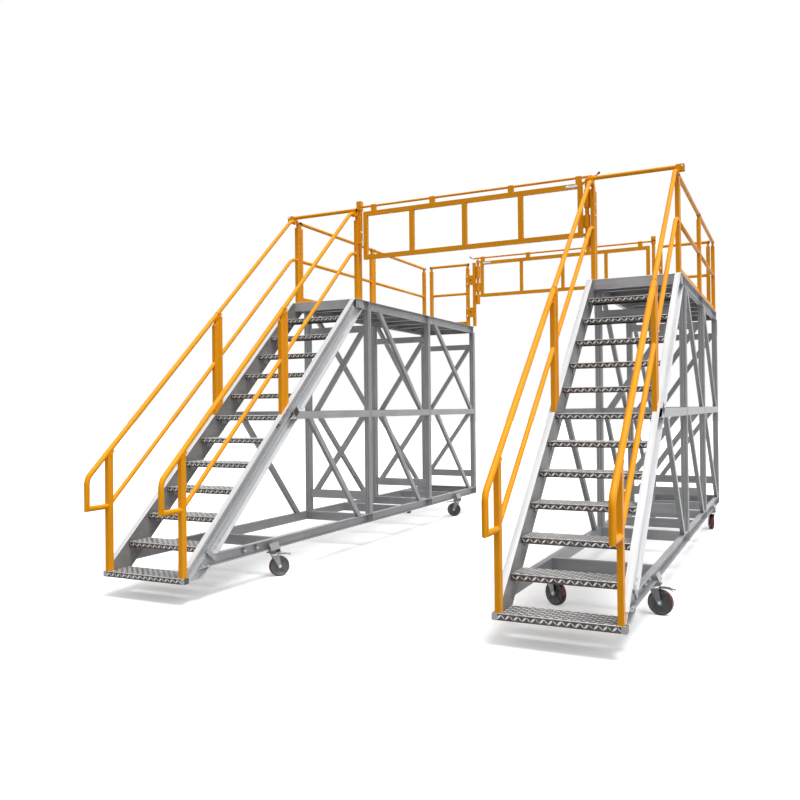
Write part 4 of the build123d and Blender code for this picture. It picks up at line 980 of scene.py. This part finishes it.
def base_fittings(tower):
    """Bosses in the base rails' recess, and the sloping plates outside the casters."""
    bosses, plates, bolts = [], [], []
    dome = [(0, 0), (0.030, 0), (0.030, 0.004), (0.024, 0.006), (0.022, 0.018), (0.018, 0.021),
            (0, 0.021)]
    for side in FACES:
        way = outward(tower, side)
        for y in BOSS_YS:
            at = np.array([face_x(tower, side, 0.0455), y, RAIL_LOW + 0.050])
            bosses.append(turned(dome, at, (way, 0, 0), 28))
            bolts += bolt(at + np.array([way * 0.021, 0, 0]), (way, 0, 0), 0.010)
        normal = (way * math.cos(GUARD_TILT), 0, math.sin(GUARD_TILT))
        for y in (CASTER_FRONT_Y - 0.054, CASTER_REAR_Y - 0.054):
            middle = (face_x(tower, side, -0.006), y, RAIL_LOW + 0.024)
            plates.append(slab(rounded(0.150, 0.072, 0.006, 3), middle, normal, (0, 1, 0), 0.006))
    tower_pieces(tower, ("rail_bosses", bosses, ZINC, "zinc"),
                 ("caster_guards", plates, MILL_LEVEL, "mill"),
                 ("boss_bolts", bolts, BOLT, "zinc"))


# Gates and head bars

def gate_fittings(end):
    """Washers between the hinge sleeves, and the splice strip on the gate's top tube."""
    sign, (axis, y) = (-1, FRONT_AXIS) if end == "front" else (1, REAR_AXIS)
    washer = [(POLE_R, -0.0015), (0.030, -0.0015), (0.0305, 0), (0.030, 0.0015),
              (POLE_R, 0.0015), (POLE_R, -0.0015)]
    moving = [turned(washer, (axis, y, DECK_TOP + up), (0, 0, 1)) for up in WASHERS_UP]
    near = axis + sign * (SLEEVE_OUT + 0.110)
    z = GATE_TOP - GATE_TUBE / 2
    for face in (-1, 1):
        moving.append(slab(rounded(0.125, 0.024, 0.003, 2), (near, y + face * 0.0215, z),
                           (0, face, 0), (1, 0, 0), 0.003))
        for shift in (-0.042, 0.042):
            moving += bolt((near + shift, y + face * 0.023, z), (0, face, 0), 0.008)
    piece(f"{end}_gate_splices", moving, BOLT, f"{end}_gate")
    low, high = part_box(f"{end}_gate")
    free, hinge = (low.x if end == "front" else high.x), axis + sign * SLEEVE_OUT
    gate_bars(end, y, free, hinge)
    latch_rod(end, axis, y, free, hinge)


def gate_bars(end, y, free, hinge):
    """The gate's upright bars, a little wider than those under them."""
    span = hinge - free
    outline = rounded(GATE_TOP - GATE_LOW - 0.092, 0.054 if end == "front" else 0.046, 0.004, 3)
    z = (GATE_LOW + GATE_TOP) / 2
    bars = [slab(outline, (free + span * share - math.copysign(0.022, span), y, z), (0, -1, 0),
                 (0, 0, 1), 0.0392, 0.0015) for share in BAR_SHARES]
    piece(f"{end}_gate_wide_bars", bars, YELLOW, f"{end}_gate")


def latch_rod(end, axis, y, free, hinge):
    """The rod over the gate's top in its straps, with a bent lever and its black cap, in place of
    the straight one. Its path is a line that dips and then rises past the hinge pole."""
    low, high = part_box(f"{end}_latch_rod")
    way = 1 if hinge > free else -1
    start = low.x if way > 0 else high.x
    turn = axis + way * 0.056
    parts = [tube((start, y, LATCH_Z), (turn, y, LATCH_Z), ROD_R, 24)]
    path = [(turn - way * 0.014, y, LATCH_Z), (turn + way * 0.012, y, LATCH_Z - 0.004),
            (turn + way * 0.034, y, LATCH_Z - 0.003), (turn + way * 0.078, y, LATCH_Z + 0.030)]
    parts.append(swept(filleted(path, (0.020, 0.030), 8), LEVER_R, (0, 1, 0), 18))
    height = LATCH_Z + ROD_R + 0.003 - GATE_TOP
    for share in STRAP_SHARES:
        x = free + (hinge - free) * share
        edge = way * min(way * x + STRAP_W / 2, way * hinge)
        parts.append(slab(rounded(height, STRAP_W, 0.004, 3),
                          (edge - way * STRAP_W / 2, y, GATE_TOP + height / 2), (0, -1, 0),
                          (0, 0, 1), 2 * ROD_R + 0.006, 0.0012))
    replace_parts(piece(f"{end}_bent_latch_rod", parts, YELLOW, f"{end}_gate"),
                f"{end}_latch_rod")
    knob = [(0, -0.020), (0.0095, -0.020), (0.0115, -0.016), (0.0120, -0.002), (0.0085, 0.0045),
            (0, 0.0060)]
    lever = np.array([way * 0.044, 0, 0.033]) / 0.055
    tip = np.array(path[-1]) - lever * 0.002
    piece(f"{end}_lever_cap", [turned(knob, tip, lever)], CAP, f"{end}_gate")


def bar_fittings(tower):
    """Bolts through the head bar's pivot and clamps, and black plugs in the bar's ends."""
    sign = SIDES[tower]
    far, bus = sign * (FAR_FACE + 0.018), face_x(tower, "bus", 0.005)
    pins, clamps = [], []
    for face in (-1, 1):
        pins += bolt((far, BAR_Y + face * 0.0335, BAR_Z), (0, face, 0), 0.009)
    for side in FACES:
        for face in (-1, 1):
            at = (post_x(tower, side), BAR_Y + face * 0.0312, GUARD_RAIL - 0.004)
            clamps += bolt(at, (0, face, 0), 0.008)
    plug = [(0, 0), (BAR_R - 0.001, 0), (BAR_R - 0.001, 0.0025), (BAR_R - 0.005, 0.0045),
            (0, 0.0045)]
    plugs = [turned(plug, (bus, BAR_Y, BAR_Z), (-sign, 0, 0)),
             turned(plug, (far + sign * (BAR_R - 0.004), BAR_Y, BAR_Z), (sign, 0, 0))]
    piece(f"{tower}_head_bar_pin_heads", pins, BOLT, f"{tower}_head_bar")
    piece(f"{tower}_head_bar_plugs", plugs, CAP, f"{tower}_head_bar")
    tower_pieces(tower, ("clamp_bolts", clamps, BOLT, "zinc"))


# Casters

def wheel_parts(label, hub, ahead, across):
    """Dark red tread, dished grey core with four spokes and a hub, in place of the wheel."""
    half = WHEEL_W / 2
    tyre = [(0.090, -half + 0.003), (0.0955, -half + 0.001), (0.0985, -half + 0.004),
            (WHEEL_R, -half + 0.010), (WHEEL_R, half - 0.010), (0.0985, half - 0.004),
            (0.0955, half - 0.001), (0.090, half - 0.003), (0.090, -half + 0.003)]
    tread = piece(f"{label}_caster_tyre", [turned(tyre, hub, across, 48)], TYRE,
                  f"{label}_caster_wheel")
    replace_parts(tread, f"{label}_caster_wheel")
    side = [(0.0083, 0.0), (0.018, 0.0), (0.021, 0.002), (0.023, 0.012), (0.028, 0.014),
            (0.070, 0.010), (0.078, 0.004), (0.082, 0.0012), (0.0905, 0.0012)]
    core = [(r, -half + z) for r, z in side] + [(r, half - z) for r, z in reversed(side)]
    patches = [turned(core + [core[0]], hub, across, 48)]
    rib = rounded(0.006, WHEEL_W - 0.006, 0.0015, 2)
    for quarter in range(4):
        a = math.radians(45 + 90 * quarter)
        out = math.cos(a) * ahead + math.sin(a) * UP
        stations = [(hub + out * reach, scale)
                    for reach, scale in ((0.020, 0), (0.020, 1), (0.080, 1), (0.080, 0))]
        patches.append(carried(rib, stations, np.cross(across, out), across))
    piece(f"{label}_caster_core", patches, CORE, f"{label}_caster_wheel")


def fork_parts(label, swivel, hub, ahead, across):
    """Swivel race, axle nuts and washers, and the forked brake pedal along the trail."""
    fork = f"{label}_caster_fork"
    race = [(0, 0.2095), (0.043, 0.2095), (0.047, 0.214), (0.047, 0.224), (0.042, 0.2315),
            (0, 0.2315)]
    boss = [(0, 0), (0.023, 0), (0.022, 0.004), (0.015, 0.0046), (0, 0.0046)]
    line = [(0.030, 0.218, 0.014), (0.080, 0.219, 0.016), (0.125, 0.214, 0.019),
            (0.148, 0.208, 0.023), (0.160, 0.196, 0.024)]
    bright, bosses, pedal = [turned(race, swivel, UP, 36)], [], []
    for way in (-1, 1):
        bright += bolt(hub + across * way * (WHEEL_W / 2 + 0.0078), across * way, 0.012)
        bosses.append(turned(boss, hub + across * way * (WHEEL_W / 2 + 0.0035), across * way, 28))
        places = [swivel + ahead * d + UP * z + across * way * w for d, z, w in line]
        stations = [(places[0], 0)] + [(p, 1) for p in places] + [(places[-1], 0)]
        pedal.append(carried(rounded(0.017, 0.0045, 0.002, 2), stations, across, UP))
    pedal.append(slab(rounded(0.066, 0.034, 0.004, 2), swivel + ahead * 0.094 + UP * 0.222, UP,
                      ahead, 0.004))
    piece(f"{label}_caster_bosses", bosses, ZINC, fork)
    piece(f"{label}_caster_fittings", bright, BOLT, fork)
    piece(f"{label}_caster_pedal", pedal, ZINC, fork)


def caster_parts(label, turn):
    """All the pieces of one caster, turned to where it rests."""
    tower, side, end = label.split("_")
    depth = BUS_FACE + CASTER_DEPTH if side == "inner" else FAR_FACE - CASTER_DEPTH
    y = CASTER_FRONT_Y if end == "front" else CASTER_REAR_Y
    angle = math.radians(turn)
    ahead = np.array([math.cos(angle), math.sin(angle), 0])
    across = np.array([-math.sin(angle), math.cos(angle), 0])
    swivel = np.array([SIDES[tower] * depth, y, 0])
    hub = swivel + ahead * TRAIL + UP * WHEEL_R
    wheel_parts(label, hub, ahead, across)
    fork_parts(label, swivel, hub, ahead, across)


# Stage

def seen_rays(nodes, links):
    """1 for rays from the camera, from a reflection or through glass, and 0 for the light's."""
    rays = nodes.new("ShaderNodeLightPath").outputs
    seen = worked(nodes, links, "MAXIMUM", rays["Is Camera Ray"], rays["Is Glossy Ray"])
    return worked(nodes, links, "MAXIMUM", seen, rays["Is Transmission Ray"])


def stage():
    """Pale floor that joins a white surround, and the light of the room, which grows upwards."""
    mesh = bpy.data.meshes.new("floor")
    corners = [(x * FLOOR_HALF, y * FLOOR_HALF, 0) for x, y in ((-1, -1), (1, -1), (1, 1), (-1, 1))]
    mesh.from_pydata(corners, [], [(0, 1, 2, 3)])
    floor = added("floor", mesh)
    made, nodes, links, shader, _ = new_material("pale_floor")
    shader.inputs["Roughness"].default_value = 0.9
    shader.inputs["Specular IOR Level"].default_value = 0.0
    links.new(mixed(nodes, links, "RGBA", seen_rays(nodes, links), (*FLOOR_BOUNCE, 1), WHITE),
              shader.inputs["Base Color"])
    rays = nodes.new("ShaderNodeLightPath").outputs
    shader.inputs["Emission Color"].default_value = WHITE
    links.new(worked(nodes, links, "MULTIPLY", rays["Is Camera Ray"], FLOOR_GLOW),
              shader.inputs["Emission Strength"])
    floor.data.materials.append(made)

    world = bpy.data.worlds.new("surround")
    bpy.context.scene.world = world
    world.use_nodes = True
    nodes, links = world.node_tree.nodes, world.node_tree.links
    background = nodes["Background"]
    background.inputs["Color"].default_value = WHITE
    ray = nodes.new("ShaderNodeTexCoord")
    height = split(nodes, links, ray.outputs["Generated"])["Z"]
    room = mapped(nodes, links, height, -0.1, 0.9, *ROOM_LIGHT)
    links.new(mixed(nodes, links, "FLOAT", seen_rays(nodes, links), room, 1.0),
              background.inputs["Strength"])


def lamp(name, aim, softness, power):
    """A soft distant lamp that shines along a direction."""
    light = bpy.data.lights.new(name, "SUN")
    light.angle = math.radians(softness)
    light.energy = power
    matrix = np.eye(4)
    matrix[:3, 0], matrix[:3, 1], matrix[:3, 2] = axes_for(-np.asarray(aim, float))
    added(name, light).matrix_world = Matrix(matrix.tolist())


def camera():
    """A camera at the photograph's place, angle and lens."""
    (cy, sy), (cp, sp), (cr, sr) = ((math.cos(a), math.sin(a))
                                    for a in (CAMERA_YAW, CAMERA_PITCH, CAMERA_ROLL))
    level, right = np.array([-sy, cy, 0]), np.array([cy, sy, 0])
    ahead, over = cp * level + sp * UP, -sp * level + cp * UP
    matrix = np.eye(4)
    matrix[:3, 0] = cr * right + sr * over
    matrix[:3, 1] = -sr * right + cr * over
    matrix[:3, 2] = -ahead
    matrix[:3, 3] = CAMERA_AT
    data = bpy.data.cameras.new("photo_camera")
    data.lens = LENS_MM
    data.sensor_width = SENSOR_MM
    data.clip_end = 200.0
    made = added("photo_camera", data)
    made.matrix_world = Matrix(matrix.tolist())
    bpy.context.scene.camera = made


bpy.context.scene.view_settings.view_transform = "Standard"
finish_nodes()
for tower in SIDES:
    for fit in (tread_lenses, stair_rails, guard_mid_rails, post_collars, rail_caps, post_bolts,
                holder_fittings, deck_edge_fittings, stringer_fittings, stringer_seams,
                column_grooves, foot_clips, tread_ends, base_fittings, bar_fittings):
        fit(tower)
for end in ("front", "rear"):
    gate_fittings(end)
for label, turn in CASTER_TURNS.items():
    caster_parts(label, turn)
stage()
lamp("high_lamp", (-0.26, 0.14, -1.0), 28, 2.75)
lamp("side_lamp", (-0.86, 0.30, -0.42), 50, 0.75)
camera()
